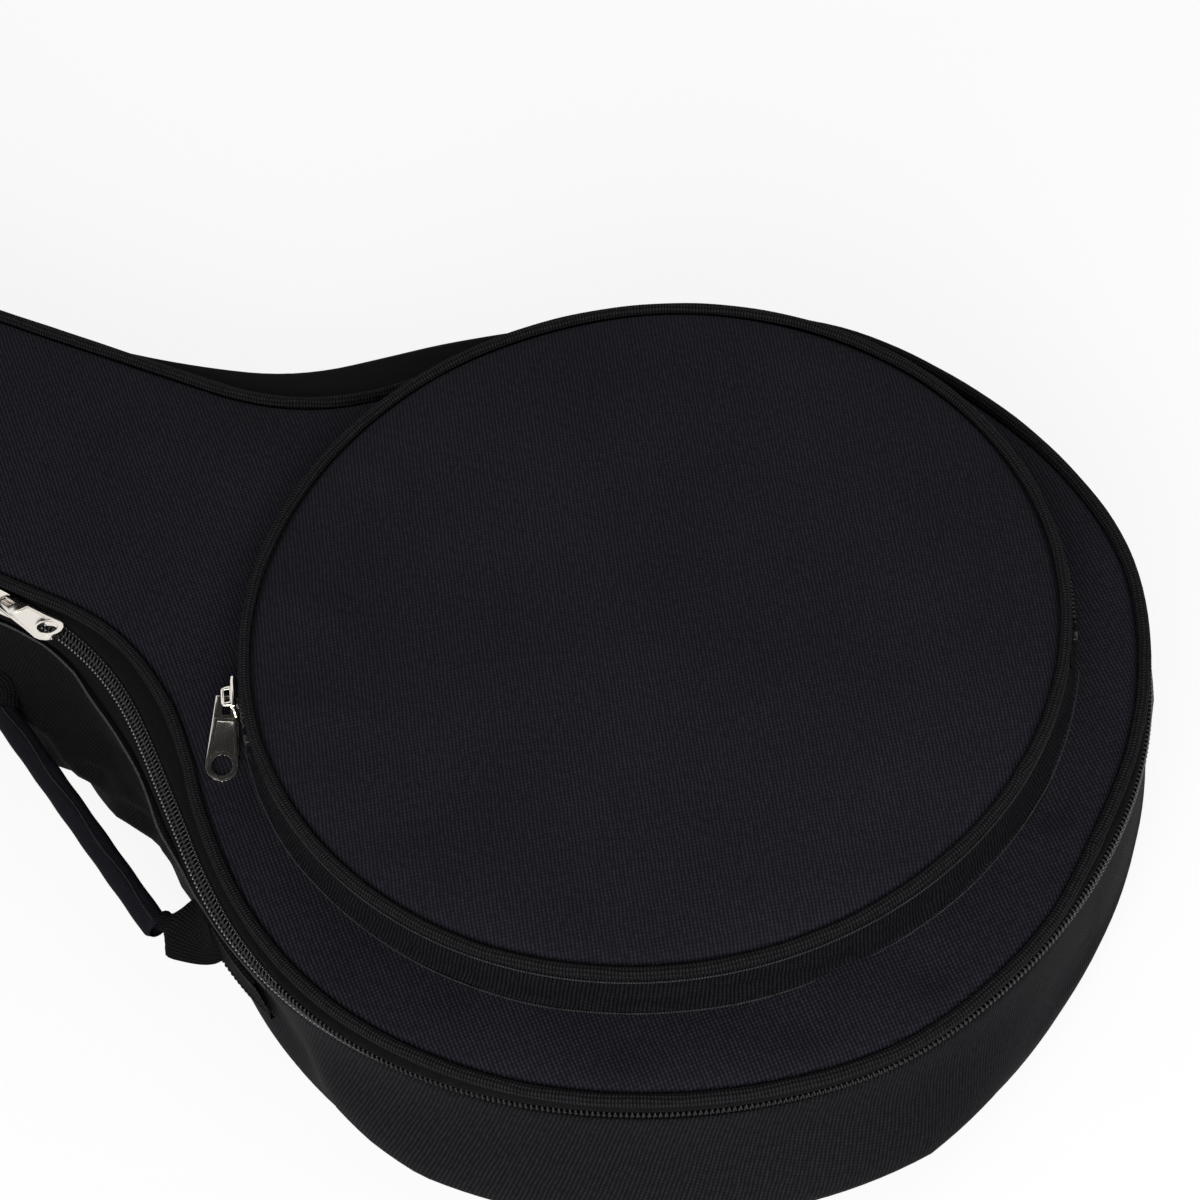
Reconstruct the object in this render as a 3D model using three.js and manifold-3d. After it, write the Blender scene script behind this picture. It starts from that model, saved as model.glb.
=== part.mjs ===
// Soft padded banjo case, lying on its back with the front panel up.
// Millimetres. The origin is under the centre of the round body, on the face the case rests on.
// +X runs along the case towards the body's round end, +Z is up, and the carry handle is on the -Y side.

import * as THREE from 'three';
import * as BufferGeometryUtils from 'three/addons/utils/BufferGeometryUtils.js';
import Module from 'manifold-3d';

const wasm = await Module();
wasm.setup();

// Outline of the case, measured on the seam line under the front piping
const bodyRadius = 183.5;
const neckHalfWidth = 65.5;
const headHalfWidth = 61;
const neckStart = 240;
const headReach = 824;
const headCornerRadius = 40;

// Radius of the hollow between neck and body: the lid follows it closely, while the zip and
// the padded wall cut the corner
const lidShoulder = { near: 103, far: 103 };
const zipShoulder = { near: 200, far: 300 };
const wallShoulder = { near: 340, far: 340 };

// Sheet and padding thicknesses
const clothThickness = 1.2;
const liningThickness = 1;
const backFoamThickness = 8.5;
const wallFoamThickness = 7;
const lidFoamThickness = 8;
const pocketFoamThickness = 3.5;
const tapeThickness = 0.8;
const webbingThickness = 2;
const bindingThickness = 1;
const bindingWidth = 5;

// Gap kept between pieces that touch, and how far a cut runs past its face
const gap = 0.3;
const overrun = 1;

// Heights above the face the case rests on
const backRollRadius = 10;
const backSeamHeight = 13;
const wallHeight = 61;
const wallBulge = 6;
const wallBulgeShare = 0.377;

// Piping
const weltRadius = 2.5;
const weltFlangeThickness = 0.8;
const weltFlangeLength = 3;
const pocketFlangeLength = 3.2;

// Zip: a nylon coil on the outer face of each tape. The tapes run straight for a slider's width,
// and the lower one has a ledge under that, down to the wall.
const zipZoneHalf = 5.4;
const tapeLedge = 4.1;
const coilWidth = 2.7;
const coilThickness = 2.4;
const chainGap = 1.6;
const stopLength = 4;

// Lid hinge: the part of the far side of the body where cloth takes the place of the zip
const hingeFromAngle = 64;
const hingeToAngle = 112;

// Front pocket
const pocketMargin = 28;
const pocketCentreX = -7;
const pocketCentreY = 12;
const pocketDepth = 22.8;
const pocketWeltDrop = 1.8;
const pocketBaseGrow = 3;
const pocketZipGrow = 1.5;
const pocketZipShare = 0.553;
const pocketZoneShare = 0.3575;
const pocketZipFromAngle = 20;
const pocketZipToAngle = 225;

// Zip sliders and pullers
const sliderLength = 16;
const sliderNoseWidth = 10.2;
const sliderTailWidth = 8;
const sliderPlate = 1.3;
const sliderClearance = 0.7;
const sliderEdgeRadius = 2;
const postWidth = 0.8;
const postLength = 4;
const bridgeLength = 9;
const bridgeWidth = 3;
const bridgeHeight = 4;
const bridgeBand = 1.2;
const bridgeFoot = 1.6;
const pullerLength = 37;
const pullerRootWidth = 8.6;
const pullerEndWidth = 12.6;
const pullerThickness = 1.1;
const pullerRim = 1.3;
const pullerRimHeight = 0.5;
const pullerHoleRadius = 4.2;
const pullerArmLength = 7;
const pullerStep = 12;
const mainSliderAngle = 4.5;
const sliderSpacing = 1;
const pocketSliderAngle = 215.5;
const mainPullerAngle = 5;
const pocketPullerAngle = 183;

// Side carry handle
const handleRise = 10;
const webbingWidth = 28;
const gripRadius = 5.6;
const gripBoreRadius = 4.2;
const gripCoreWidth = 6;
const gripCoreThickness = 4.4;
const bodyAnchorFromAngle = 236;
const bodyAnchorToAngle = 246;
const neckAnchorStart = 278;
const neckAnchorLength = 34;
const tailLength = 35;
const gripStandOff = { neck: 4.4, body: 8.2 };

// Angle between two stations on the round parts, and the count of steps on the other arcs
const bodyStepAngle = 8;
const pocketStepAngle = 10;
const pocketZipStepAngle = 5;
const lastBodySteps = 2;
const shoulderSteps = 10;
const cornerSteps = 4;
const curveSegments = 8;
const gripSides = 10;
const gripSteps = 12;
const tailSteps = 5;
const bodyAnchorSteps = 4;

// Heights that follow from the sizes above
const wallTop = backSeamHeight + wallHeight;
const wallBulgeHeight = backSeamHeight + wallHeight * wallBulgeShare;
const zipHeight = wallTop + tapeLedge + zipZoneHalf;
const weltHeight = zipHeight + zipZoneHalf + 2 * gap + weltFlangeLength;
const lidTop = weltHeight + weltRadius;
const pocketTop = lidTop + pocketDepth;
const pocketWeltHeight = pocketTop - pocketWeltDrop;
const pocketRadius = bodyRadius - pocketMargin;
const handleHeight = wallBulgeHeight + handleRise;

const rad = THREE.MathUtils.degToRad;
const fullTurn = THREE.MathUtils.radToDeg(2 * Math.PI);

// Finishes, one for each kind of stuff the case is made of

const finish = {
  panelCloth: [0x17171a, 0.85, 0],
  wallCloth: [0x1c1c1d, 0.82, 0],
  pipingCloth: [0x272827, 0.8, 0],
  foam: [0x45464a, 0.95, 0],
  lining: [0x0f0f11, 0.7, 0],
  tape: [0x1a1a1b, 0.8, 0],
  coil: [0x0d0d0e, 0.4, 0],
  nickel: [0xc9c3b8, 0.25, 1],
  webbing: [0x0c0c0d, 0.85, 0],
  gripCloth: [0x14141a, 0.5, 0],
};

function material(name) {
  const [color, roughness, metalness] = finish[name];
  return new THREE.MeshStandardMaterial({ color, roughness, metalness });
}

const bag = new THREE.Group();

function add(name, geometry, finishName, parent = bag) {
  const mesh = new THREE.Mesh(geometry, material(finishName));
  mesh.name = name;
  parent.add(mesh);
  return mesh;
}

// Solids from rows of sections

function signedArea(points) {
  let area = 0;
  points.forEach((p, i) => {
    const q = points[(i + 1) % points.length];
    area += (p.x * q.y - q.x * p.y) / 2;
  });
  return area;
}

// Indices of the triangles that close one flat polygon, wound as the polygon is
function capTriangles(flat) {
  const sign = Math.sign(signedArea(flat));
  return THREE.ShapeUtils.triangulateShape(flat, []).map(([a, b, c]) => {
    const same = Math.sign(signedArea([flat[a], flat[b], flat[c]])) === sign;
    return same ? [a, b, c] : [a, c, b];
  });
}

function signedVolume(points, triangles) {
  const cross = new THREE.Vector3();
  return triangles.reduce((sum, [a, b, c]) => (
    sum + cross.crossVectors(points[b], points[c]).dot(points[a]) / 6
  ), 0);
}

// Joins equal sections into one closed body. A wrapped row is a ring, an open row gets end faces,
// triangulated on the flat form of its section.
function loft(sections, wrap, flat) {
  const count = sections[0].length;
  const points = sections.flat();
  const triangles = [];
  const spans = wrap ? sections.length : sections.length - 1;
  for (let i = 0; i < spans; i += 1) {
    const here = i * count;
    const next = ((i + 1) % sections.length) * count;
    for (let j = 0; j < count; j += 1) {
      const k = (j + 1) % count;
      triangles.push([here + j, here + k, next + k], [here + j, next + k, next + j]);
    }
  }
  if (!wrap) {
    const last = (sections.length - 1) * count;
    capTriangles(flat).forEach(([a, b, c]) => {
      triangles.push([a, c, b], [last + a, last + b, last + c]);
    });
  }
  const faces = signedVolume(points, triangles) < 0
    ? triangles.map(([a, b, c]) => [a, c, b])
    : triangles;
  const geometry = new THREE.BufferGeometry();
  geometry.setAttribute('position', new THREE.Float32BufferAttribute(
    points.flatMap((p) => [p.x, p.y, p.z]),
    3,
  ));
  geometry.setIndex(faces.flat());
  return geometry;
}

// Booleans

function toSolid(geometry) {
  const bare = geometry.clone();
  bare.deleteAttribute('normal');
  bare.deleteAttribute('uv');
  const merged = BufferGeometryUtils.mergeVertices(bare);
  return new wasm.Manifold(new wasm.Mesh({
    numProp: 3,
    vertProperties: new Float32Array(merged.attributes.position.array),
    triVerts: new Uint32Array(merged.index.array),
  }));
}

function toGeometry(manifold) {
  const mesh = manifold.getMesh();
  const geometry = new THREE.BufferGeometry();
  geometry.setAttribute('position', new THREE.Float32BufferAttribute(mesh.vertProperties, 3));
  geometry.setIndex([...mesh.triVerts]);
  return geometry;
}

function join(...geometries) {
  return toGeometry(geometries.map(toSolid).reduce((sum, part) => sum.add(part)));
}

function cut(geometry, ...tools) {
  return toGeometry(tools.map(toSolid).reduce((rest, tool) => rest.subtract(tool), toSolid(geometry)));
}

function extrude(shape, depth, steps = curveSegments) {
  return new THREE.ExtrudeGeometry(shape, { depth, bevelEnabled: false, curveSegments: steps });
}

// Outline of the case
//
// A station is a point of an outline with its outward normal. Moving every station by the same
// distance along its normal gives the exact parallel outline.

const neckTaper = Math.atan((neckHalfWidth - headHalfWidth) / (headReach - neckStart));
const neckNormal = new THREE.Vector2(-Math.sin(neckTaper), Math.cos(neckTaper));
const neckAlong = new THREE.Vector2(-Math.cos(neckTaper), -Math.sin(neckTaper));
const neckOffset = neckStart * Math.sin(neckTaper) + neckHalfWidth * Math.cos(neckTaper);

function shoulderCentre(radius) {
  const side = neckOffset + radius;
  const along = Math.sqrt((bodyRadius + radius) ** 2 - side ** 2);
  return neckNormal.clone().multiplyScalar(side).addScaledVector(neckAlong, along);
}

function onCircle(centre, radius, angle, facing = 1) {
  const normal = new THREE.Vector2(Math.cos(angle), Math.sin(angle));
  return { point: centre.clone().addScaledVector(normal, radius), normal: normal.multiplyScalar(facing) };
}

// Half an outline on the +Y side, from the body's round end to the head end
function halfOutline(radius) {
  const origin = new THREE.Vector2();
  const half = [];
  for (let angle = 0; angle <= hingeToAngle + bodyStepAngle; angle += bodyStepAngle) {
    half.push(onCircle(origin, bodyRadius, rad(angle)));
  }
  const centre = shoulderCentre(radius);
  const meet = Math.atan2(centre.y, centre.x);
  const reached = rad((half.length - 1) * bodyStepAngle);
  for (let i = 1; i <= lastBodySteps; i += 1) {
    half.push(onCircle(origin, bodyRadius, THREE.MathUtils.lerp(reached, meet, i / lastBodySteps)));
  }
  const neckSide = neckTaper - Math.PI / 2;
  for (let i = 1; i <= shoulderSteps; i += 1) {
    const angle = THREE.MathUtils.lerp(meet - Math.PI, neckSide, i / shoulderSteps);
    half.push(onCircle(centre, radius, angle, -1));
  }
  const cornerX = headCornerRadius - headReach;
  const cornerY = (neckOffset - headCornerRadius - neckNormal.x * cornerX) / neckNormal.y;
  const corner = new THREE.Vector2(cornerX, cornerY);
  for (let i = 0; i <= cornerSteps; i += 1) {
    const angle = THREE.MathUtils.lerp(neckTaper + Math.PI / 2, Math.PI, i / cornerSteps);
    half.push(onCircle(corner, headCornerRadius, angle));
  }
  return half;
}

function mirrored({ point, normal }) {
  return {
    point: new THREE.Vector2(point.x, -point.y),
    normal: new THREE.Vector2(normal.x, -normal.y),
  };
}

function outline({ near, far }) {
  return [...halfOutline(far), ...halfOutline(near).slice(1).reverse().map(mirrored)];
}

const lidLine = outline(lidShoulder);
const zipLine = outline(zipShoulder);
const wallLine = outline(wallShoulder);

function place({ point, normal }, grow, z) {
  return new THREE.Vector3(point.x + normal.x * grow, point.y + normal.y * grow, z);
}

// A profile is a closed list of corners [line, grow, z]: which outline a corner follows, how far
// outside it, and how high. Only grow and z matter for the end faces.
function ring(profile) {
  return loft(profile[0][0].map((_, i) => profile.map(([line, grow, z]) => place(line[i], grow, z))), true);
}

// The part of a ring from one station to another, with its ends drawn in by half the gap
function arc(profile, from, to) {
  const count = profile[0][0].length;
  const steps = (to - from + count) % count;
  const sections = [];
  for (let i = 0; i <= steps; i += 1) {
    const index = (from + i) % count;
    const inset = ((i === 0) - (i === steps)) * gap / 2;
    sections.push(profile.map(([line, grow, z]) => {
      const { normal } = line[index];
      return place(line[index], grow, z).add(new THREE.Vector3(-normal.y * inset, normal.x * inset, 0));
    }));
  }
  return loft(sections, false, profile.map(([, grow, z]) => new THREE.Vector2(grow, z)));
}

// A plate: outlines stacked from one face to the other
function plate(levels) {
  const sections = levels.map(([line, grow, z]) => line.map((station) => place(station, grow, z)));
  return loft(sections, false, sections[0].map((p) => new THREE.Vector2(p.x, p.y)));
}

// Section of a sheet of even thickness that hangs from one outline to another
function sheetProfile(corners, thickness) {
  return [...corners, ...corners.map(([line, grow, z]) => [line, grow - thickness, z]).reverse()];
}

// Piping: a round cord whose flange goes down into the seam
function weltProfile(line, centreZ, flangeLength, steps) {
  const inner = -weltFlangeThickness - clothThickness - gap;
  const outer = inner + weltFlangeThickness;
  const start = -Math.acos(outer / weltRadius);
  const end = 2 * Math.PI - Math.acos(inner / weltRadius);
  const cord = [];
  for (let i = 0; i <= steps; i += 1) {
    const angle = THREE.MathUtils.lerp(start, end, i / steps);
    cord.push([line, weltRadius * Math.cos(angle), centreZ + weltRadius * Math.sin(angle)]);
  }
  const low = centreZ - flangeLength;
  return [...cord, [line, inner, low], [line, outer, low]];
}

// Back of the case: a cloth tray with a rolled edge, its padding and its lining

const wallFoamOuter = -clothThickness - gap;
const wallFoamInner = wallFoamOuter - wallFoamThickness;
const wallLiningOuter = wallFoamInner - gap;
const wallLiningInner = wallLiningOuter - liningThickness;
const traySide = -clothThickness;
const backFoamBottom = clothThickness + gap;
const backFoamTop = backFoamBottom + backFoamThickness;
const backLiningTop = backFoamTop + gap + liningThickness;
const wallFoot = backLiningTop + gap;
const rollShares = [0, 0.5, 1];

// Quarter roll from the flat back up to its side, seen in section
function roll(radius) {
  return rollShares.map((share) => {
    const angle = rad(90) * share;
    return [wallLine, radius * Math.sin(angle) - backRollRadius, backRollRadius - radius * Math.cos(angle)];
  });
}

const trayTop = backSeamHeight - gap;
add('back_panel', plate([
  ...roll(backRollRadius),
  [wallLine, 0, trayTop],
  [wallLine, traySide, trayTop],
  ...roll(backRollRadius - clothThickness).reverse(),
]), 'panelCloth');
add('back_foam', plate(roll(backRollRadius - clothThickness - gap)
  .map(([line, grow, z]) => [line, grow, Math.min(z, backFoamTop)])), 'foam');
add('back_lining', plate([
  [wallLine, wallFoamOuter, backFoamTop + gap],
  [wallLine, wallFoamOuter, backLiningTop],
]), 'lining');

// Side wall: outer cloth that bellies out, padding and lining
//
// The wall stands on the back's lining, and its cloth meets the rolled edge at the back seam.

// How far the bellied wall stands outside its outline at a height
function wallGrowAt(z) {
  const foot = z < wallBulgeHeight ? backSeamHeight : wallTop;
  const share = Math.abs(z - wallBulgeHeight) / Math.abs(foot - wallBulgeHeight);
  return wallBulge * Math.max(0, 1 - share);
}

function wallProfile(outerGrow, thickness, heights) {
  return sheetProfile(heights.map((z) => [wallLine, outerGrow + wallGrowAt(z), z]), thickness);
}

const clothHeights = [backSeamHeight, wallBulgeHeight, wallTop];
const innerHeights = [wallFoot, ...clothHeights];
add('side_wall_cloth', ring(wallProfile(0, clothThickness, clothHeights)), 'wallCloth');
add('side_wall_lining', ring(wallProfile(wallLiningOuter, liningThickness, innerHeights)), 'lining');

// The padding is two strips that meet at the round end and at the head
const headStation = halfOutline(wallShoulder.far).length - 1;
const foamProfile = wallProfile(wallFoamOuter, wallFoamThickness, innerHeights);
add('side_wall_foam_far', arc(foamProfile, 0, headStation), 'foam');
add('side_wall_foam_near', arc(foamProfile, headStation, 0), 'foam');

const bindingOuter = wallLiningInner - gap;
add('base_seam_binding', ring([
  [wallLine, bindingOuter, wallFoot],
  [wallLine, bindingOuter - bindingWidth, wallFoot],
  [wallLine, bindingOuter - bindingWidth, wallFoot + bindingThickness],
  [wallLine, bindingOuter, wallFoot + bindingThickness],
]), 'webbing');

// Main zip: two tapes with a coil each, all round except where the lid is hinged

const zipBottom = wallTop + gap;
const zipTop = weltHeight - weltRadius - gap;
const lowerEdge = zipHeight - chainGap / 2;
const upperEdge = zipHeight + chainGap / 2;
const hingeFromStation = hingeFromAngle / bodyStepAngle;
const hingeToStation = hingeToAngle / bodyStepAngle;

function coilProfile(line, grow, low, high) {
  const near = grow + gap;
  const far = near + coilThickness;
  return [[line, near, low], [line, far, low], [line, far, high], [line, near, high]];
}

add('main_zip_lower_tape', arc(sheetProfile([
  [wallLine, 0, zipBottom],
  [zipLine, 0, zipHeight - zipZoneHalf],
  [zipLine, 0, lowerEdge],
], tapeThickness), hingeToStation, hingeFromStation), 'tape');
add('main_zip_upper_tape', arc(sheetProfile([
  [zipLine, 0, upperEdge],
  [zipLine, 0, zipHeight + zipZoneHalf],
  [lidLine, 0, weltHeight - weltFlangeLength - gap],
  [lidLine, 0, zipTop],
], tapeThickness), hingeToStation, hingeFromStation), 'tape');
add(
  'main_zip_lower_coil',
  arc(coilProfile(zipLine, 0, lowerEdge - coilWidth, lowerEdge), hingeToStation + 1, hingeFromStation - 1),
  'coil',
);
add(
  'main_zip_upper_coil',
  arc(coilProfile(zipLine, 0, upperEdge, upperEdge + coilWidth), hingeToStation + 1, hingeFromStation - 1),
  'coil',
);

// A small block sewn over the end of a coil, just past its last tooth
function zipStop(station, direction, grow, edge) {
  const outward = new THREE.Vector3(station.normal.x, station.normal.y, 0);
  const along = new THREE.Vector3(-station.normal.y, station.normal.x, 0).multiplyScalar(direction);
  const height = coilWidth + 2 * gap;
  const block = new THREE.BoxGeometry(stopLength, coilThickness, height);
  const centre = place(station, grow + gap + coilThickness / 2, edge - height / 2)
    .addScaledVector(along, gap + stopLength / 2);
  const basis = new THREE.Matrix4().makeBasis(along, outward, along.clone().cross(outward));
  return block.applyMatrix4(basis.setPosition(centre));
}

const lastTooth = zipLine[hingeFromStation - 1];
const firstTooth = zipLine[hingeToStation + 1];
add('main_zip_stop_body', zipStop(lastTooth, 1, 0, lowerEdge), 'nickel');
add('main_zip_stop_neck', zipStop(firstTooth, -1, 0, lowerEdge), 'nickel');

// The cloth that joins lid and wall where the zip stops, and about which the lid folds back
add('lid_hinge_cloth', arc(sheetProfile([
  [wallLine, 0, zipBottom],
  [zipLine, 0, zipHeight],
  [lidLine, 0, zipTop],
], tapeThickness), hingeFromStation, hingeToStation), 'wallCloth');

// Lid: front panel with piping all round, padding and lining

const lidFoamTop = lidTop - clothThickness - gap;
const lidFoamBottom = lidFoamTop - lidFoamThickness;
const lidLiningBottom = lidFoamBottom - gap - liningThickness;
const panelEdge = -weltRadius - gap;
const lidFoamEdge = -2 * weltRadius;
const weltSteps = 7;

add('front_panel', plate([
  [lidLine, panelEdge, lidTop - clothThickness],
  [lidLine, panelEdge, lidTop],
]), 'panelCloth');
add('front_foam', plate([
  [lidLine, lidFoamEdge, lidFoamBottom],
  [lidLine, lidFoamEdge, lidFoamTop],
]), 'foam');
add('front_lining', plate([
  [lidLine, lidFoamEdge, lidLiningBottom],
  [lidLine, lidFoamEdge, lidLiningBottom + liningThickness],
]), 'lining');
add('front_piping', ring(weltProfile(lidLine, weltHeight, weltFlangeLength, weltSteps)), 'pipingCloth');

// Round front pocket
//
// The zip opens the neck side and the far side. The rest of the pocket stays sewn down, and the
// panel folds along the chord between the two ends of the zip.

const pocketCentre = new THREE.Vector2(pocketCentreX, pocketCentreY);
const pocketFoamTop = pocketTop - clothThickness - gap;
const pocketFoamBottom = pocketFoamTop - pocketFoamThickness;
const pocketWallBottom = lidTop + gap;
const pocketWallTop = pocketWeltHeight - weltRadius - gap;
const pocketWallHeight = pocketWallTop - pocketWallBottom;
const pocketZipHeight = pocketWallBottom + pocketWallHeight * pocketZipShare;
const pocketZoneHalf = pocketWallHeight * pocketZoneShare;

function pocketLine(from, to, step) {
  const steps = Math.round((to - from) / step);
  const stations = [];
  for (let i = 0; i <= steps; i += 1) {
    stations.push(onCircle(pocketCentre, pocketRadius, rad(THREE.MathUtils.lerp(from, to, i / steps))));
  }
  return stations;
}

const flapLine = pocketLine(pocketZipFromAngle, pocketZipToAngle, pocketZipStepAngle);
const sewnLine = pocketLine(pocketZipToAngle - fullTurn, pocketZipFromAngle, pocketStepAngle);

function openArc(profile) {
  return arc(profile, 0, profile[0][0].length - 1);
}

// A slab of the pocket's panel on one side of the fold
function pocketSlab(line, grow, low, high) {
  const corners = line.map((station) => {
    const { x, y } = place(station, grow, 0);
    return new THREE.Vector2(x, y);
  });
  const first = corners[0];
  const last = corners[corners.length - 1];
  const inward = new THREE.Vector2(first.y - last.y, last.x - first.x).normalize().multiplyScalar(-gap / 2);
  const moved = corners.map((p, i) => (i === 0 || i === corners.length - 1 ? p.clone().add(inward) : p));
  const shape = new THREE.Shape(moved);
  return extrude(shape, high - low).translate(0, 0, low);
}

for (const [half, line] of [['flap', flapLine], ['sewn', sewnLine]]) {
  add(
    `pocket_panel_${half}`,
    pocketSlab(line, panelEdge, pocketTop - clothThickness, pocketTop),
    'panelCloth',
  );
  add(`pocket_foam_${half}`, pocketSlab(line, panelEdge, pocketFoamBottom, pocketFoamTop), 'foam');
  add(
    `pocket_piping_${half}`,
    openArc(weltProfile(line, pocketWeltHeight, pocketFlangeLength, weltSteps - 1)),
    'pipingCloth',
  );
}

add('pocket_wall_cloth', openArc(sheetProfile([
  [sewnLine, pocketBaseGrow, pocketWallBottom],
  [sewnLine, 0, pocketWallTop],
], clothThickness)), 'wallCloth');

const pocketLowerEdge = pocketZipHeight - chainGap / 2;
const pocketUpperEdge = pocketZipHeight + chainGap / 2;
add('pocket_zip_lower_tape', openArc(sheetProfile([
  [flapLine, pocketBaseGrow, pocketWallBottom],
  [flapLine, pocketZipGrow, pocketZipHeight - pocketZoneHalf],
  [flapLine, pocketZipGrow, pocketLowerEdge],
], tapeThickness)), 'tape');
add('pocket_zip_upper_tape', openArc(sheetProfile([
  [flapLine, pocketZipGrow, pocketUpperEdge],
  [flapLine, pocketZipGrow, pocketZipHeight + pocketZoneHalf],
  [flapLine, 0, pocketWallTop],
], tapeThickness)), 'tape');

const lastFlapStation = flapLine.length - 1;
add('pocket_zip_lower_coil', arc(
  coilProfile(flapLine, pocketZipGrow, pocketLowerEdge - coilWidth, pocketLowerEdge),
  1,
  lastFlapStation - 1,
), 'coil');
add('pocket_zip_upper_coil', arc(
  coilProfile(flapLine, pocketZipGrow, pocketUpperEdge, pocketUpperEdge + coilWidth),
  1,
  lastFlapStation - 1,
), 'coil');
const neckStop = zipStop(flapLine[lastFlapStation - 1], 1, pocketZipGrow, pocketLowerEdge);
const bodyStop = zipStop(flapLine[1], -1, pocketZipGrow, pocketLowerEdge);
add('pocket_zip_stop_neck', neckStop, 'nickel');
add('pocket_zip_stop_body', bodyStop, 'nickel');

// Zip slider and puller
//
// Their own frame: x along the chain towards the tail, y out of the case, z across the chain.
// y is zero on the outer face of the tape.

const plateInnerFace = gap + coilThickness + sliderClearance;
const plateOuterFace = plateInnerFace + sliderPlate;
const backPlateFace = -tapeThickness - sliderClearance;
const barHeight = plateOuterFace + gap + (bridgeHeight - bridgeBand / 2) / 2;

// Shield outline of both plates: wide at the nose, narrower at the tail, with rounded corners
function sliderOutline() {
  const nose = -sliderLength / 2;
  const tail = sliderLength / 2;
  const wide = sliderNoseWidth / 2;
  const slim = sliderTailWidth / 2;
  const r = sliderEdgeRadius;
  const shape = new THREE.Shape();
  shape.moveTo(nose + r, -wide);
  shape.lineTo(0, -wide);
  shape.quadraticCurveTo(tail - r, -wide, tail - r, -slim);
  shape.quadraticCurveTo(tail, -slim, tail, r - slim);
  shape.lineTo(tail, slim - r);
  shape.quadraticCurveTo(tail, slim, tail - r, slim);
  shape.quadraticCurveTo(tail - r, wide, 0, wide);
  shape.lineTo(nose + r, wide);
  shape.quadraticCurveTo(nose, wide, nose, wide - r);
  shape.lineTo(nose, r - wide);
  shape.quadraticCurveTo(nose, -wide, nose + r, -wide);
  return shape;
}

// A flat shape drawn in x and z, standing from one y to another
function slab(shape, from, to, steps = 2) {
  return extrude(shape, to - from, steps).rotateX(Math.PI / 2).translate(0, to, 0);
}

function sliderBody() {
  const plates = sliderOutline();
  const noseX = -sliderLength / 2;
  const post = new THREE.Shape([
    new THREE.Vector2(noseX + gap, 0),
    new THREE.Vector2(noseX + postLength / 2, -postWidth / 2),
    new THREE.Vector2(noseX + postLength, 0),
    new THREE.Vector2(noseX + postLength / 2, postWidth / 2),
  ]);
  return join(
    slab(plates, plateInnerFace, plateOuterFace),
    slab(plates, backPlateFace - sliderPlate, backPlateFace),
    slab(post, backPlateFace - sliderPlate / 2, plateOuterFace - sliderPlate / 2),
  );
}

// The bridge: an arch with a slot under it, through which the puller's bar runs
function sliderBridge() {
  const outer = new THREE.Shape();
  const half = bridgeLength / 2;
  outer.moveTo(-half, 0);
  outer.lineTo(half, 0);
  outer.quadraticCurveTo(half, bridgeHeight, half - bridgeFoot, bridgeHeight);
  outer.lineTo(bridgeFoot - half, bridgeHeight);
  outer.quadraticCurveTo(-half, bridgeHeight, -half, 0);
  const inner = half - bridgeFoot;
  const tunnel = new THREE.Path();
  tunnel.moveTo(-inner, bridgeBand / 2);
  tunnel.lineTo(-inner, bridgeHeight - bridgeBand);
  tunnel.lineTo(inner, bridgeHeight - bridgeBand);
  tunnel.lineTo(inner, bridgeBand / 2);
  outer.holes.push(tunnel);
  return extrude(outer, bridgeWidth, 3).translate(0, plateOuterFace + gap, -bridgeWidth / 2);
}

// The puller: a bar, two arms, a tapered plate with a rim raised on both faces, and a round hole
// with a collar at its end
function pullerPlate(inset, from) {
  const root = pullerRootWidth / 2 - inset;
  const end = pullerEndWidth / 2 - inset;
  const shoulder = pullerLength - pullerEndWidth / 2;
  const shape = new THREE.Shape();
  shape.moveTo(from, -root);
  shape.lineTo(shoulder, -end);
  shape.absarc(shoulder, 0, end, -Math.PI / 2, Math.PI / 2);
  shape.lineTo(from, root);
  return shape;
}

function circle(x, radius) {
  const path = new THREE.Path();
  path.absarc(x, 0, radius, 0, 2 * Math.PI);
  return path;
}

function puller() {
  const half = pullerThickness / 2;
  const holeX = pullerLength - pullerEndWidth / 2;
  const armSpace = bridgeWidth / 2 + gap;
  const body = pullerPlate(0, -half);
  const window = new THREE.Path();
  window.moveTo(half, -armSpace);
  window.lineTo(pullerArmLength, -armSpace);
  window.lineTo(pullerArmLength, armSpace);
  window.lineTo(half, armSpace);
  body.holes.push(window);
  const rim = pullerPlate(0, pullerStep);
  const field = pullerPlate(pullerRim, pullerStep + pullerRim).getPoints(curveSegments / 2);
  rim.holes.push(new THREE.Path(field));
  const collar = new THREE.Shape(circle(holeX, pullerHoleRadius + pullerRim).getPoints(curveSegments));
  const raised = half + pullerRimHeight;
  const bare = join(
    slab(body, -half, half, curveSegments / 2),
    slab(rim, -raised, raised, curveSegments / 2),
    slab(collar, -raised, raised),
  );
  const hole = new THREE.Shape(circle(holeX, pullerHoleRadius).getPoints(curveSegments));
  return cut(bare, slab(hole, -raised - overrun, raised + overrun));
}

// Puts a slider and its puller on a zip. The frame has x towards the slider's tail.
function addSlider(prefix, station, direction, grow, z, pullerAngle) {
  const outward = new THREE.Vector3(station.normal.x, station.normal.y, 0);
  const along = new THREE.Vector3(-station.normal.y, station.normal.x, 0).multiplyScalar(direction);
  const frame = new THREE.Group();
  const basis = new THREE.Matrix4().makeBasis(along, outward, along.clone().cross(outward));
  basis.setPosition(place(station, grow, z));
  frame.applyMatrix4(basis);
  bag.add(frame);
  add(`${prefix}_slider`, sliderBody(), 'nickel', frame);
  add(`${prefix}_slider_bridge`, sliderBridge(), 'nickel', frame);
  const hanging = add(`${prefix}_puller`, puller(), 'nickel', frame);
  hanging.position.set(0, barHeight, 0);
  hanging.rotation.z = rad(pullerAngle);
}

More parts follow.
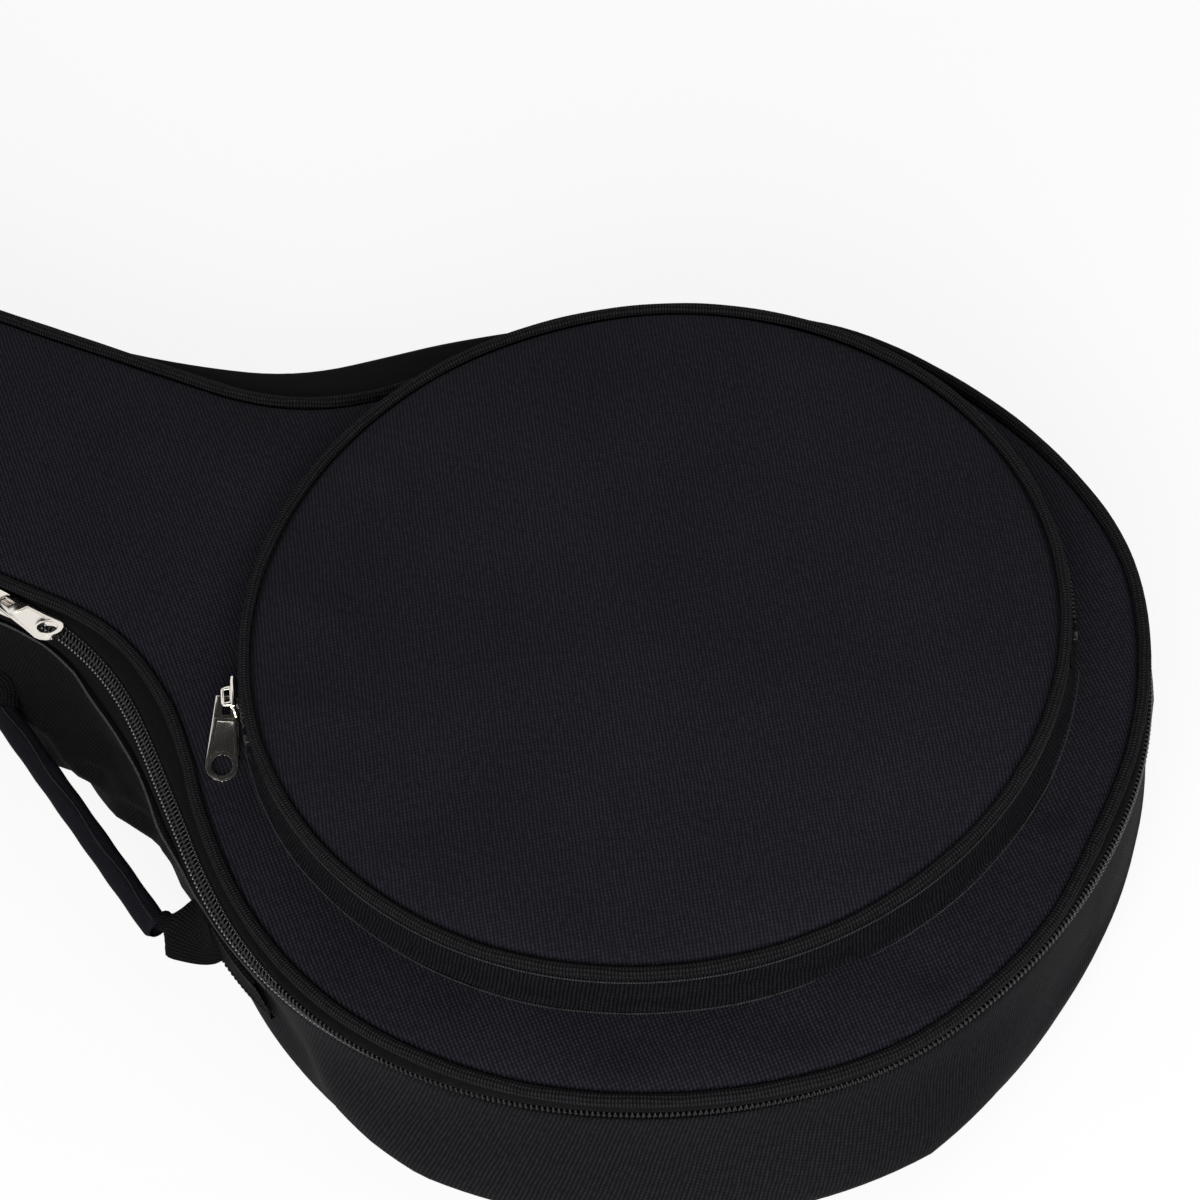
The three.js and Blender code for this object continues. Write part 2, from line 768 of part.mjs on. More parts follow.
// The two main sliders meet nose to nose beside the handle, one on the curve of the shoulder
// and one on the straight side of the neck
const nearShoulder = shoulderCentre(zipShoulder.near);
const nearCentre = new THREE.Vector2(nearShoulder.x, -nearShoulder.y);
const neckSideAngle = Math.PI / 2 - neckTaper;
const mainStation = onCircle(nearCentre, zipShoulder.near, neckSideAngle - rad(mainSliderAngle), -1);
const neckRun = sliderLength + sliderSpacing - zipShoulder.near * rad(mainSliderAngle);
const neckTangent = onCircle(nearCentre, zipShoulder.near, neckSideAngle, -1);
const nearNeckAlong = new THREE.Vector2(neckAlong.x, -neckAlong.y);
const headSlider = {
  point: neckTangent.point.clone().addScaledVector(nearNeckAlong, neckRun),
  normal: neckTangent.normal,
};
const pocketStation = onCircle(pocketCentre, pocketRadius, rad(pocketSliderAngle));
addSlider('body_end', mainStation, 1, 0, zipHeight, mainPullerAngle);
addSlider('head_end', headSlider, -1, 0, zipHeight, 0);
addSlider('pocket', pocketStation, -1, pocketZipGrow, pocketZipHeight, pocketPullerAngle);

// Side carry handle: webbing sewn to the wall at both ends and folded inside a soft grip

// A patch of webbing that lies on the wall cloth along a row of stations
function anchorPatch(stations) {
  const low = handleHeight - webbingWidth / 2;
  const high = handleHeight + webbingWidth / 2;
  const levels = [low, wallBulgeHeight, high];
  const outer = levels.map((z) => [wallGrowAt(z) + gap + webbingThickness, z]);
  const inner = levels.map((z) => [wallGrowAt(z) + gap, z]).reverse();
  const profile = [...outer, ...inner];
  return loft(
    stations.map((station) => profile.map(([grow, z]) => place(station, grow, z))),
    false,
    profile.map(([grow, z]) => new THREE.Vector2(grow, z)),
  );
}

const bodyAnchor = [];
for (let i = 0; i <= bodyAnchorSteps; i += 1) {
  const angle = THREE.MathUtils.lerp(bodyAnchorFromAngle, bodyAnchorToAngle, i / bodyAnchorSteps);
  bodyAnchor.push(onCircle(new THREE.Vector2(), bodyRadius, rad(angle)));
}
const wallShoulderFar = shoulderCentre(wallShoulder.near);
const wallNearCentre = new THREE.Vector2(wallShoulderFar.x, -wallShoulderFar.y);
const neckAnchorEnd = neckAnchorStart + neckAnchorLength;
const neckAnchor = [];
for (const reach of [neckAnchorEnd, (neckAnchorStart + neckAnchorEnd) / 2, neckAnchorStart]) {
  const angle = Math.acos((-reach - wallNearCentre.x) / wallShoulder.near);
  neckAnchor.push(onCircle(wallNearCentre, wallShoulder.near, angle, -1));
}
add('handle_anchor_body', anchorPatch(bodyAnchor), 'webbing');
add('handle_anchor_neck', anchorPatch(neckAnchor), 'webbing');

// The handle's line: out of one anchor, along the straight grip, and into the other anchor
const handleGrow = wallBulge + gap + webbingThickness / 2;
const bodyEnd = place(bodyAnchor[0], handleGrow, handleHeight);
const neckEnd = place(neckAnchor[neckAnchor.length - 1], handleGrow, handleHeight);
const span = bodyEnd.clone().sub(neckEnd);
const spanUnit = span.clone().normalize();
const across = new THREE.Vector3(spanUnit.y, -spanUnit.x, 0);
const startGap = webbingThickness / 2 + gap;

function alongSpan(from, distance, standOff) {
  return from.clone().addScaledVector(spanUnit, distance).addScaledVector(across, standOff);
}

const gripStart = alongSpan(neckEnd, tailLength, gripStandOff.neck);
const gripEnd = alongSpan(bodyEnd, -tailLength, gripStandOff.body);
const gripCurve = new THREE.CatmullRomCurve3([
  alongSpan(neckEnd, startGap, 0),
  gripStart,
  gripStart.clone().lerp(gripEnd, 0.5),
  gripEnd,
  alongSpan(bodyEnd, -startGap, 0),
]);
const curveLength = gripCurve.getLength();
const gripFromShare = (tailLength + gap) / curveLength;

// One section across the handle's line, as wide as asked in z and as thick across
function handleSection(share, width, thickness, sides) {
  const centre = gripCurve.getPointAt(share);
  const tangent = gripCurve.getTangentAt(share);
  const side = new THREE.Vector3(tangent.y, -tangent.x, 0).normalize();
  return sides.map(([a, b]) => centre.clone()
    .addScaledVector(side, a * thickness / 2)
    .add(new THREE.Vector3(0, 0, b * width / 2)));
}

const squareShares = [[1, -1], [1, 1], [-1, 1], [-1, -1]];
const flatSquare = squareShares.map(([a, b]) => new THREE.Vector2(a, b));

// The webbing is flat where it leaves the wall and folds up narrow before it enters the grip
function webbingStrip() {
  const sections = [];
  for (let i = 0; i <= tailSteps; i += 1) {
    const fold = THREE.MathUtils.smoothstep(i / tailSteps, 0, 1);
    const width = THREE.MathUtils.lerp(webbingWidth, gripCoreWidth, fold);
    const thickness = THREE.MathUtils.lerp(webbingThickness, gripCoreThickness, fold);
    sections.push([(i / tailSteps) * gripFromShare, width, thickness]);
  }
  const middle = [];
  for (let i = 1; i < gripSteps; i += 1) {
    const share = THREE.MathUtils.lerp(gripFromShare, 1 - gripFromShare, i / gripSteps);
    middle.push([share, gripCoreWidth, gripCoreThickness]);
  }
  const back = sections.map(([share, width, thickness]) => [1 - share, width, thickness]).reverse();
  const all = [...sections, ...middle, ...back];
  return loft(all.map((s) => handleSection(...s, squareShares)), false, flatSquare);
}

// The grip: a soft tube round the folded webbing
function gripTube() {
  const turn = (i) => (2 * Math.PI * i) / gripSides;
  const round = Array.from({ length: gripSides }, (_, i) => [Math.cos(turn(i)), Math.sin(turn(i))]);
  const row = (radius) => {
    const sections = [];
    for (let i = 0; i <= gripSteps; i += 1) {
      const share = THREE.MathUtils.lerp(gripFromShare, 1 - gripFromShare, i / gripSteps);
      sections.push(handleSection(share, 2 * radius, 2 * radius, round));
    }
    return sections;
  };
  return loft([...row(gripRadius), ...row(gripBoreRadius).reverse()], true);
}

add('handle_webbing', webbingStrip(), 'webbing');
add('handle_grip', gripTube(), 'gripCloth');

export default bag;
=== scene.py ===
"""Soft banjo case lying on its back with the front panel up, on a pale floor."""

from math import atan, atan2, cos, exp, pi, radians, sin, sqrt

import bpy
import numpy as np
from mathutils import Matrix, Vector, noise
from mathutils.geometry import delaunay_2d_cdt
from numpy.linalg import norm


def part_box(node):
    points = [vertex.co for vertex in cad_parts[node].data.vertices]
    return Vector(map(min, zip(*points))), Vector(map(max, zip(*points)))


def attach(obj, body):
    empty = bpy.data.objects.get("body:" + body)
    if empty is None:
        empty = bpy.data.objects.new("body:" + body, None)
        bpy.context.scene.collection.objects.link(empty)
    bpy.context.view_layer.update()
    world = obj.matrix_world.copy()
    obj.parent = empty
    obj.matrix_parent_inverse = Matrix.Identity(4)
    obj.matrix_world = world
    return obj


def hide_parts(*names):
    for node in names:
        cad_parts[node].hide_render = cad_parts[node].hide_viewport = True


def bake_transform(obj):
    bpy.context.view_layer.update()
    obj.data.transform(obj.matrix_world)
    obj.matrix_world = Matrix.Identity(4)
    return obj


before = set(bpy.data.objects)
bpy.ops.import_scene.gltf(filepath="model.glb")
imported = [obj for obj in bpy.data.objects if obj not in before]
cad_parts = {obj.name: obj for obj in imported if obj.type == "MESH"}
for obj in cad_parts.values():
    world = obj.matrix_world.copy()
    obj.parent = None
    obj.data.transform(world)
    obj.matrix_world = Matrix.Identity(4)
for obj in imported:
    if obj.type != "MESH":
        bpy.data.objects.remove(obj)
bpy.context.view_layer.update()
scene = bpy.context.scene

# Lengths are in millimetres and become metres where a mesh is made. Those of stage and camera are in metres.
MM = 0.001

# Outline of the case
BODY_RADIUS = 183.5
NECK_HALF_WIDTH = 65.5
HEAD_HALF_WIDTH = 61
NECK_START = 240
HEAD_REACH = 824
HEAD_CORNER_RADIUS = 40

# Radii of the outlines' far and near shoulders
LID_SHOULDERS = (103, 103)
ZIP_SHOULDERS = (300, 200)
WALL_SHOULDERS = (340, 340)

# The cloth hinge: angles of its ends round the body's centre
HINGE_FROM = 64
HINGE_TO = 112

# Heights
BACK_SEAM = 13
LINING_FLOOR = 11.3
WALL_TOP = 74
ZIP_HEIGHT = 83.5
WELT_HEIGHT = 92.5
WELT_RADIUS = 2.2
MAIN_WELT_RADIUS = 2.45

# Front pocket
POCKET_RADIUS = 155.5
POCKET_CENTRE = (-7, 12)
POCKET_WELT_HEIGHT = 116
POCKET_ZIP_HEIGHT = 105.2
POCKET_ZIP_FROM = 20
POCKET_ZIP_TO = 225
POCKET_STEP = 1.5
POCKET_EDGE = 113.4
POCKET_LINING = 112.6
POCKET_KNOT = 357
POCKET_BASE_SEAM = 96.1
POCKET_TOP_SEAM = 111.9


# Outlines

class Line:
    """A row of stations: points, outward normals and the distance along the row."""

    def __init__(self, points, normals, closed=True):
        self.p = np.array(points, float)
        self.n = np.array(normals, float)
        self.n /= norm(self.n, axis=1)[:, None]
        ends = np.roll(self.p, -1, axis=0) if closed else self.p[1:]
        steps = norm(ends - self.p[: len(ends)], axis=1)
        self.s = np.append(0, np.cumsum(steps))[: len(self.p)]
        self.length = float(steps.sum())
        self.closed = closed

    def part(self, start, stop):
        """The open stretch from one station to another, going round past the first if need be."""
        count = len(self.p)
        picked = np.arange(start, stop + 1 if stop > start else stop + count + 1) % count
        return Line(self.p[picked], self.n[picked], closed=False)

    def at(self, places, grid=None):
        """The open line at distances along the row, or at places on another grid of its stations."""
        grid = self.s if grid is None else grid
        points, normals = (np.column_stack([np.interp(places, grid, side) for side in rows.T])
                           for rows in (self.p, self.n))
        return Line(points, normals, closed=False)


def mix(a, b, share):
    """The line that lies a share of the way from a to b."""
    return Line(a.p + (b.p - a.p) * share, a.n + (b.n - a.n) * share, a.closed)


NECK_TAPER = atan((NECK_HALF_WIDTH - HEAD_HALF_WIDTH) / (HEAD_REACH - NECK_START))
NECK_NORMAL = np.array([-sin(NECK_TAPER), cos(NECK_TAPER)])
NECK_ALONG = np.array([-cos(NECK_TAPER), -sin(NECK_TAPER)])
NECK_OFFSET = NECK_START * sin(NECK_TAPER) + NECK_HALF_WIDTH * cos(NECK_TAPER)
DISC_STEP = 2
DISC_STATIONS = 60
LAST_DISC_STEPS = 10
SHOULDER_STEPS = 36
NECK_STEPS = 70
CORNER_STEPS = 10
HEAD_STEPS = 4


def shoulder_centre(radius):
    side = NECK_OFFSET + radius
    along = sqrt((BODY_RADIUS + radius) ** 2 - side**2)
    return NECK_NORMAL * side + NECK_ALONG * along


def arc(centre, radius, angles, facing=1):
    """Points and normals of an arc. facing is -1 where the outline bends inward."""
    n = np.column_stack([np.cos(angles), np.sin(angles)])
    return centre + radius * n, facing * n


def half_line(radius):
    """Points and normals of one half, from the round end along body and neck to the head's middle."""
    body = np.radians(np.arange(DISC_STATIONS + 1) * DISC_STEP)
    centre = shoulder_centre(radius)
    meet = atan2(centre[1], centre[0])
    bend = np.linspace(meet - pi, NECK_TAPER - pi / 2, SHOULDER_STEPS + 1)[1:]
    shoulder = arc(centre, radius, bend, -1)
    corner_x = HEAD_CORNER_RADIUS - HEAD_REACH
    corner_y = (NECK_OFFSET - HEAD_CORNER_RADIUS - NECK_NORMAL[0] * corner_x) / NECK_NORMAL[1]
    corner = arc((corner_x, corner_y), HEAD_CORNER_RADIUS,
                 np.linspace(NECK_TAPER + pi / 2, pi, CORNER_STEPS + 1))
    neck = np.linspace(shoulder[0][-1], corner[0][0], NECK_STEPS + 1)[1:-1]
    head = np.linspace((-HEAD_REACH, corner_y), (-HEAD_REACH, 0), HEAD_STEPS + 1)[1:]
    pieces = [
        arc((0, 0), BODY_RADIUS, body),
        arc((0, 0), BODY_RADIUS, np.linspace(body[-1], meet, LAST_DISC_STEPS + 1)[1:]),
        shoulder,
        (neck, np.tile(NECK_NORMAL, (len(neck), 1))),
        corner,
        (head, np.tile([-1, 0], (len(head), 1))),
    ]
    return [np.vstack(rows) for rows in zip(*pieces)]


def outline(shoulders):
    """The whole outline, once round."""
    (far_p, far_n), (near_p, near_n) = (half_line(radius) for radius in shoulders)
    mirror = np.array([1, -1])
    return Line(np.vstack([far_p, near_p[-2:0:-1] * mirror]), np.vstack([far_n, near_n[-2:0:-1] * mirror]))


# How far the sewn case departs from its pattern. Rows of (angle round the body's centre, value). The values
# are lengths, but those of TILT are degrees that the zip leans in.
LID_DRIFT = [
    (0, -6), (12, -3.8), (24, -1), (37, 2.4), (44, 4.4), (50, 3), (62, 1.4), (76, 0.8), (86, 2.4), (96, 3.8),
    (103, 2.4), (110, -0.2), (118, 1.6), (128, 4), (140, 3.6), (158, -3), (170, -7), (193, -6.2), (197, -4),
    (203, -1), (211, -0.8), (222, -4), (230, -4.6), (241, -3.6), (255, -2.6), (275, -3.6), (290, -4),
    (305, -3), (317, -0.4), (325, 1.6), (332, 0.8), (346, -1.4), (353, -2.8),
]
ZIP_DRIFT = [
    (0, -2.6), (10, -1.2), (40, 1.5), (110, 0.8), (118, 2.4), (128, 7), (142, 9.6), (149, 6), (153, 1.5),
    (158, -5), (165, -4), (193, -4.6), (197, -4.2), (201, -2.6), (206, 1), (212, 4.4), (219, 5.4),
    (228, 2.8), (235, 2.6), (243, 1.6), (255, 0.4), (268, -2.2), (290, -5), (306, -4.2), (324, -0.4),
    (340, -2.4),
]
TOP_DRIFT = [
    (0, -3.6), (20, -2.4), (50, 1), (118, 1.4), (130, 7), (142, 8.8), (149, 5.2), (153, 1.5), (158, -5),
    (165, -4), (190, 0), (195, -1.6), (196.4, -5.6), (197.8, -9.4), (199.5, -7.1), (203, -2.2), (207, -1),
    (212.4, 2.7), (216, 6.3), (224, 9.2), (233, 5), (239, 4.6), (250, 1.6), (262, -0.8), (290, -3.6),
    (306, -2.8), (325, 0.2), (345, -2.2),
]
BELLY = [
    (0, -3), (15, -2), (27, 1), (34, 7), (42, 11), (60, 8), (90, 6.5), (180, 6.5), (197, 12), (200, 14),
    (203, 13.5), (206, 10.5), (209, 8.4), (212, 6.4), (219, 6.5), (232, 3), (237, 0.5), (243, -2.4),
    (249, -0.4), (255, 6.8), (262, 11), (269, 14), (290, 12.5), (314, 13.5), (326, 13), (335, 7), (342, 1.5),
    (350, -2.5),
]
ROUNDING = [
    (0, 18.5), (9, 19), (14, 17), (19, 10), (25, 3), (32, 0), (322, 0), (330, 1), (336, 3), (341, 6.3),
    (345, 9.5), (350, 13.5), (355, 17),
]
TILT = [
    (0, 0), (180.5, 0), (184.3, 29), (193, 30), (199, 38), (206, 46), (224, 46), (234, 38), (242, 22),
    (250, 4), (257, -10), (268, -24), (332, -24), (345, -14), (357, 0),
]
RISE = [(0, 3.2), (30, 3.2), (60, 1), (120, 0), (236, 0), (248, 3.2)]
DRIFT_SPAN = 3


def angles_of(points):
    """The places' angles round the body's centre, in degrees."""
    return np.degrees(np.arctan2(points[:, 1], points[:, 0])) % 360


def by_angle(points, table):
    """Values of a table at the places' angles round the body's centre."""
    keys, values = zip(*table)
    return np.interp(angles_of(points), keys, values, period=360)


def grown(line, grow):
    """The line moved outward, by one length or by one for each station."""
    return Line(line.p + line.n * np.broadcast_to(grow, len(line.p))[:, None], line.n, line.closed)


def drifted(line, table):
    """The outline moved outward by the table's values, evened out over a few stations."""
    grow = by_angle(line.p, table)
    wide = np.concatenate([grow[-DRIFT_SPAN:], grow, grow[:DRIFT_SPAN]])
    return grown(line, np.convolve(wide, np.ones(2 * DRIFT_SPAN + 1) / (2 * DRIFT_SPAN + 1), "valid"))


lid_line = drifted(outline(LID_SHOULDERS), LID_DRIFT)
zip_line = drifted(outline(ZIP_SHOULDERS), ZIP_DRIFT)
wall_line = outline(WALL_SHOULDERS)
top_line = drifted(wall_line, TOP_DRIFT)
ROUNDING_HEIGHT = 30


def tuck(line, z):
    """How far the round end's lower edge is drawn in at a height."""
    return -by_angle(line.p, ROUNDING) * max(0, 1 - z / ROUNDING_HEIGHT) ** 1.3


base_line = grown(wall_line, tuck(wall_line, 0))


def pocket_arc(start, stop, radius=POCKET_RADIUS):
    closed = stop - start == 360
    angles = np.radians(np.linspace(start, stop, round((stop - start) / POCKET_STEP) + 1))
    return Line(*arc(POCKET_CENTRE, radius, angles[:-1] if closed else angles), closed=closed)


pocket_line = pocket_arc(0, 360)
flap_line = pocket_arc(POCKET_ZIP_FROM, POCKET_ZIP_TO)
sewn_line = pocket_arc(POCKET_ZIP_TO, POCKET_ZIP_FROM + 360)


# Meshes

def linked(name, data):
    """A new object of the data, put into the scene."""
    piece = bpy.data.objects.new(name, data)
    scene.collection.objects.link(piece)
    return piece


def finish_mesh(name, verts, faces, uvs, material):
    """Makes the object. Lengths come in millimetres, uvs are one pair for each face corner."""
    mesh = bpy.data.meshes.new(name)
    mesh.from_pydata((np.asarray(verts) * MM).tolist(), [], [list(f) for f in faces])
    layer = mesh.uv_layers.new(name="UVMap")
    layer.data.foreach_set("uv", (np.asarray(uvs, float) * MM).ravel())
    mesh.materials.append(material)
    mesh.polygons.foreach_set("use_smooth", [True] * len(mesh.polygons))
    mesh.update()
    return linked(name, mesh)


def loft(name, rows, material, line=None):
    """A skin through equal rows of points, whose uv runs along and across them. line gives the distances
    along a row. Without it each row is a closed section."""
    rows = np.asarray(rows, float)
    count, width = rows.shape[:2]
    if line is None:
        steps = norm(np.roll(rows[0], -1, axis=0) - rows[0], axis=1)
        s = np.append(0, np.cumsum(steps))
    else:
        s = np.append(line.s, line.length)
    across = norm(np.diff(rows, axis=0), axis=2)
    t = np.vstack([np.zeros(width), np.cumsum(across, axis=0)])
    faces, uvs = [], []
    for i in range(count - 1):
        for j in range(width if line is None or line.closed else width - 1):
            corners = [(i, j), (i, j + 1), (i + 1, j + 1), (i + 1, j)]
            faces.append([a * width + b % width for a, b in corners])
            uvs.extend((s[b], t[a, b % width]) for a, b in corners)
    return finish_mesh(name, rows.reshape(-1, 3), faces, uvs, material)


def refined(profile, factor=3):
    """Smooth in-between levels of a profile."""
    q = np.array(profile, float)
    q = np.concatenate([[2 * q[0] - q[1]], q, [2 * q[-1] - q[-2]]])
    out = []
    for a, b, c, d in zip(q, q[1:], q[2:], q[3:]):
        for k in range(factor):
            t = k / factor
            bend = (2 * a - 5 * b + 4 * c - d) * t**2
            out.append(0.5 * (2 * b + (c - a) * t + bend + (3 * b - a - 3 * c + d) * t**3))
    return np.array(out + [q[-2]])


def row(line, grow, z):
    return np.column_stack([grown(line, grow).p, np.broadcast_to(z, len(line.p))])


def nothing(line, z):
    return 0


def band(name, a, b, profile, material, stretch=None, bump=nothing, lift=nothing):
    """A loft through levels (share, grow, height), where share lies between outlines a and b. stretch keeps a
    part of them, bump gives an extra grow and lift an extra height."""
    rows = []
    for share, grow, z in refined(profile):
        line = mix(a, b, share)
        if stretch:
            line = line.part(*stretch)
        rows.append(row(line, grow + bump(line, z), z + lift(line, z)))
    return loft(name, rows, material, line)


def ring(name, line, profile, material, bump=nothing):
    """A band along one outline, through levels (grow, height)."""
    return band(name, line, line, [(0, *level) for level in profile], material, bump=bump)


def cord(name, line, z, radius, material, sides=14, knots=(), wobble=0.05):
    """A round cord along a line. At a knot its sleeve is joined, so it is a little thicker."""
    s = line.s
    swell = 1 + 0.02 * np.sin(s / 11) + 0.015 * np.sin(s / 4.3 + 1)
    for knot in knots:
        swell = swell + 0.14 * np.exp(-(((s - knot) / 3.5) ** 2))
    drift = wobble * np.sin(s / 37) + wobble * np.sin(s / 17 + 2)
    rows = []
    for k in range(sides + 1):
        angle = -2 * pi * k / sides
        grow = drift + radius * swell * cos(angle)
        rows.append(row(line, grow, z + radius * swell * sin(angle)))
    return loft(name, rows, material, line)


def inside(points, polygon):
    """Which points lie inside a polygon."""
    x, y = points.T
    hit = np.zeros(len(points), bool)
    for (x0, y0), (x1, y1) in zip(polygon, np.roll(polygon, -1, axis=0)):
        hit ^= ((y0 > y) != (y1 > y)) & (x < (x1 - x0) * (y - y0) / (y1 - y0 + 1e-12) + x0)
    return hit


def distance(points, polygon):
    """The distance of each point to the nearest corner of a dense polygon."""
    parts = np.array_split(polygon, 12)
    return np.min([norm(points[:, None] - part, axis=2).min(axis=1) for part in parts], axis=0)


def pad(name, line, insets, height, material, cell=8, flip=False):
    """A sheet that fills an outline: rings of the outline inwards, then a net of small cells.
    height gives z from the distance to the outline and the place."""
    rings = [line.p - line.n * d for d in insets]
    width = len(line.p)
    inner = rings[-1]
    low, high = inner.min(axis=0), inner.max(axis=0)
    columns, levels = (np.arange(low[k] + cell / 2, high[k], cell) for k in (0, 1))
    grid = np.stack(np.meshgrid(columns, levels), -1).reshape(-1, 2)
    grid[:, 1] += np.where(np.round((grid[:, 0] - low[0]) / cell).astype(int) % 2, cell / 2, 0)
    grid = grid[inside(grid, inner)]
    gap = distance(grid, inner)
    clear = gap > cell * 0.55
    grid, gap = grid[clear], gap[clear]
    edges = [(i, (i + 1) % width) for i in range(width)]
    net = delaunay_2d_cdt([Vector(p) for p in np.vstack([inner, grid])], edges, [], 1, 1e-6)
    triangles, origin = net[2:4]
    points = np.vstack(rings + [grid])
    depth = np.append(np.repeat(insets, width), gap + insets[-1])
    last = width * (len(rings) - 1)
    faces = [[i + j, i + k, i + width + k, i + width + j] for i in range(0, last, width) for j, k in edges]
    faces += [[last + origin[v][0] for v in triangle] for triangle in triangles]
    if flip:
        faces = [f[::-1] for f in faces]
    verts = np.column_stack([points, height(depth, points)])
    return finish_mesh(name, verts, faces, [points[v] for f in faces for v in f], material)


def soft(points, size, seed):
    """Smooth unevenness of cloth, from -1 to 1, with dimples of about the given size."""
    return np.array([noise.noise(Vector((x / size + seed, y / size - seed, seed))) for x, y in points])


def uneven(line, level, size, seed):
    """The unevenness along a line, which is another one at each level."""
    return soft(np.column_stack([line.s, np.full(len(line.s), level)]), size, seed)


def ease(x):
    x = np.clip(x, 0, 1)
    return x * x * (3 - 2 * x)


# Materials

def given(made, **values):
    """The thing itself, once its properties are set."""
    for key, value in values.items():
        setattr(made, key, value)
    return made


def fill(tree, made, inputs):
    """Sets a node's inputs, each to a value or to another node's output."""
    for key, value in inputs.items():
        if isinstance(value, bpy.types.NodeSocket):
            tree.links.new(value, made.inputs[key])
        else:
            made.inputs[key].default_value = value


def node(tree, kind, inputs, **values):
    """The outputs of a new node with its properties and inputs set."""
    made = given(tree.nodes.new(f"ShaderNode{kind}"), **values)
    fill(tree, made, inputs)
    return made.outputs


def new_material(name, colour, roughness):
    material = bpy.data.materials.new(name)
    material.use_nodes = True
    tree = material.node_tree
    shader = tree.nodes["Principled BSDF"]
    fill(tree, shader, {"Base Color": (*colour, 1), "Roughness": roughness})
    return material, tree, shader


def maths(tree, operation, *terms):
    return node(tree, "Math", dict(enumerate(terms)), operation=operation)[0]


def noise_node(tree, vector, scale, detail=2):
    inputs = {"Vector": vector, "Scale": scale, "Detail": detail}
    return node(tree, "TexNoise", inputs)["Fac"]


def relief(tree, height, strength, depth, **under):
    """The normals of a bumpy surface, on top of other normals if they are given."""
    inputs = {"Height": height, "Strength": strength, "Distance": depth * MM, **under}
    return node(tree, "Bump", inputs)[0]


def thread_wave(tree, coordinate, pitch):
    """A smooth wave from 0 to 1 with one crest for each pitch."""
    angle = maths(tree, "MULTIPLY", coordinate, 2 * pi / (pitch * MM))
    return maths(tree, "MULTIPLY_ADD", maths(tree, "SINE", angle), 0.5, 0.5)


def cloth(name, colour, pitch, angle=0, weft=0.4, contrast=0.5, bump=0.5, depth=0.25, roughness=0.8,
          patch=0.12, slack=0, hollow=None):
    """Woven cloth: ribs of one pitch crossed by other threads, uneven from thread to thread and over patches.
    Its gaps between threads are painted dark and warm as painted shade, and its threads light and cool as
    painted highlights, over the weave's own pattern. hollow paints shade on it round a place."""
    material, tree, shader = new_material(name, colour, roughness)
    place = node(tree, "UVMap", {}, uv_map="UVMap")[0]
    turned = node(tree, "Mapping", {"Vector": place, "Rotation": (0, 0, radians(angle))})
    split = node(tree, "SeparateXYZ", {0: turned[0]})
    wander = noise_node(tree, place, 90)
    ribs = thread_wave(tree, maths(tree, "MULTIPLY_ADD", wander, 0.0012, split[0]), pitch[0])
    checks = maths(tree, "MULTIPLY", ribs, thread_wave(tree, split[1], pitch[1]))
    woven = maths(tree, "MULTIPLY_ADD", checks, 1.6 * weft, maths(tree, "MULTIPLY", ribs, 1 - weft))
    threads = noise_node(tree, place, 420, 3)
    fuzz = noise_node(tree, place, 2600, 3)
    patches = noise_node(tree, place, 13, 4)
    shade = maths(tree, "MULTIPLY", woven, maths(tree, "MULTIPLY_ADD", threads, 2.4, -0.2))
    shade = maths(tree, "MULTIPLY_ADD", shade, contrast, 0.46 * (1 - contrast))
    shade = maths(tree, "MULTIPLY", shade, maths(tree, "MULTIPLY_ADD", patches, patch * 4, 1 - patch * 2))
    # Painted shade: the colour is darkened round a place where the cloth lies in shade.
    if hollow:
        shade_centre, wide, deep = hollow
        here = node(tree, "TexCoord", {})["Object"]
        away = node(tree, "VectorMath", {0: here, 1: shade_centre}, operation="DISTANCE")["Value"]
        reach = {"Value": away, "From Min": wide * 0.5, "From Max": wide, "To Min": 1 - deep, "To Max": 1}
        near = node(tree, "MapRange", reach, interpolation_type="SMOOTHSTEP")[0]
        shade = maths(tree, "MULTIPLY", shade, near)
    red, green, blue = colour
    # The weave's shading is painted into its colour: dark gaps stand in for shade between threads, light
    # threads for their highlights.
    gap = (red * 0.22, green * 0.2, blue * 0.14, 1)
    thread_highlight = (red * 2.2, green * 2.2, blue * 2.3, 1)
    mixed = node(tree, "Mix", {"Factor": shade, "A": gap, "B": thread_highlight}, data_type="RGBA")
    under = {"Normal": relief(tree, noise_node(tree, place, 22), slack, 3)} if slack else {}
    fill(tree, shader, {
        "Base Color": mixed["Result"],
        "Normal": relief(tree, maths(tree, "MULTIPLY_ADD", fuzz, 0.35, woven), bump, depth, **under),
        "Sheen Weight": 0.004,
        "Sheen Roughness": 0.45,
        "Specular IOR Level": 0.04,
    })
    return material


def metal(name, colour, roughness):
    material, tree, shader = new_material(name, colour, roughness)
    place = node(tree, "TexCoord", {})["Object"]
    wear = noise_node(tree, place, 260, 4)
    worn = node(tree, "MapRange", {"Value": wear, "To Min": roughness * 0.7, "To Max": roughness * 1.5})
    bumps = relief(tree, noise_node(tree, place, 900, 3), 0.03, 0.2)
    fill(tree, shader, {"Metallic": 1, "Roughness": worn[0], "Normal": bumps})
    return material


def plastic(name, colour, roughness):
    material, tree, shader = new_material(name, colour, roughness)
    bumps = relief(tree, noise_node(tree, node(tree, "TexCoord", {})["Object"], 1500), 0.2, 0.1)
    fill(tree, shader, {"Normal": bumps, "Specular IOR Level": 0.2})
    return material


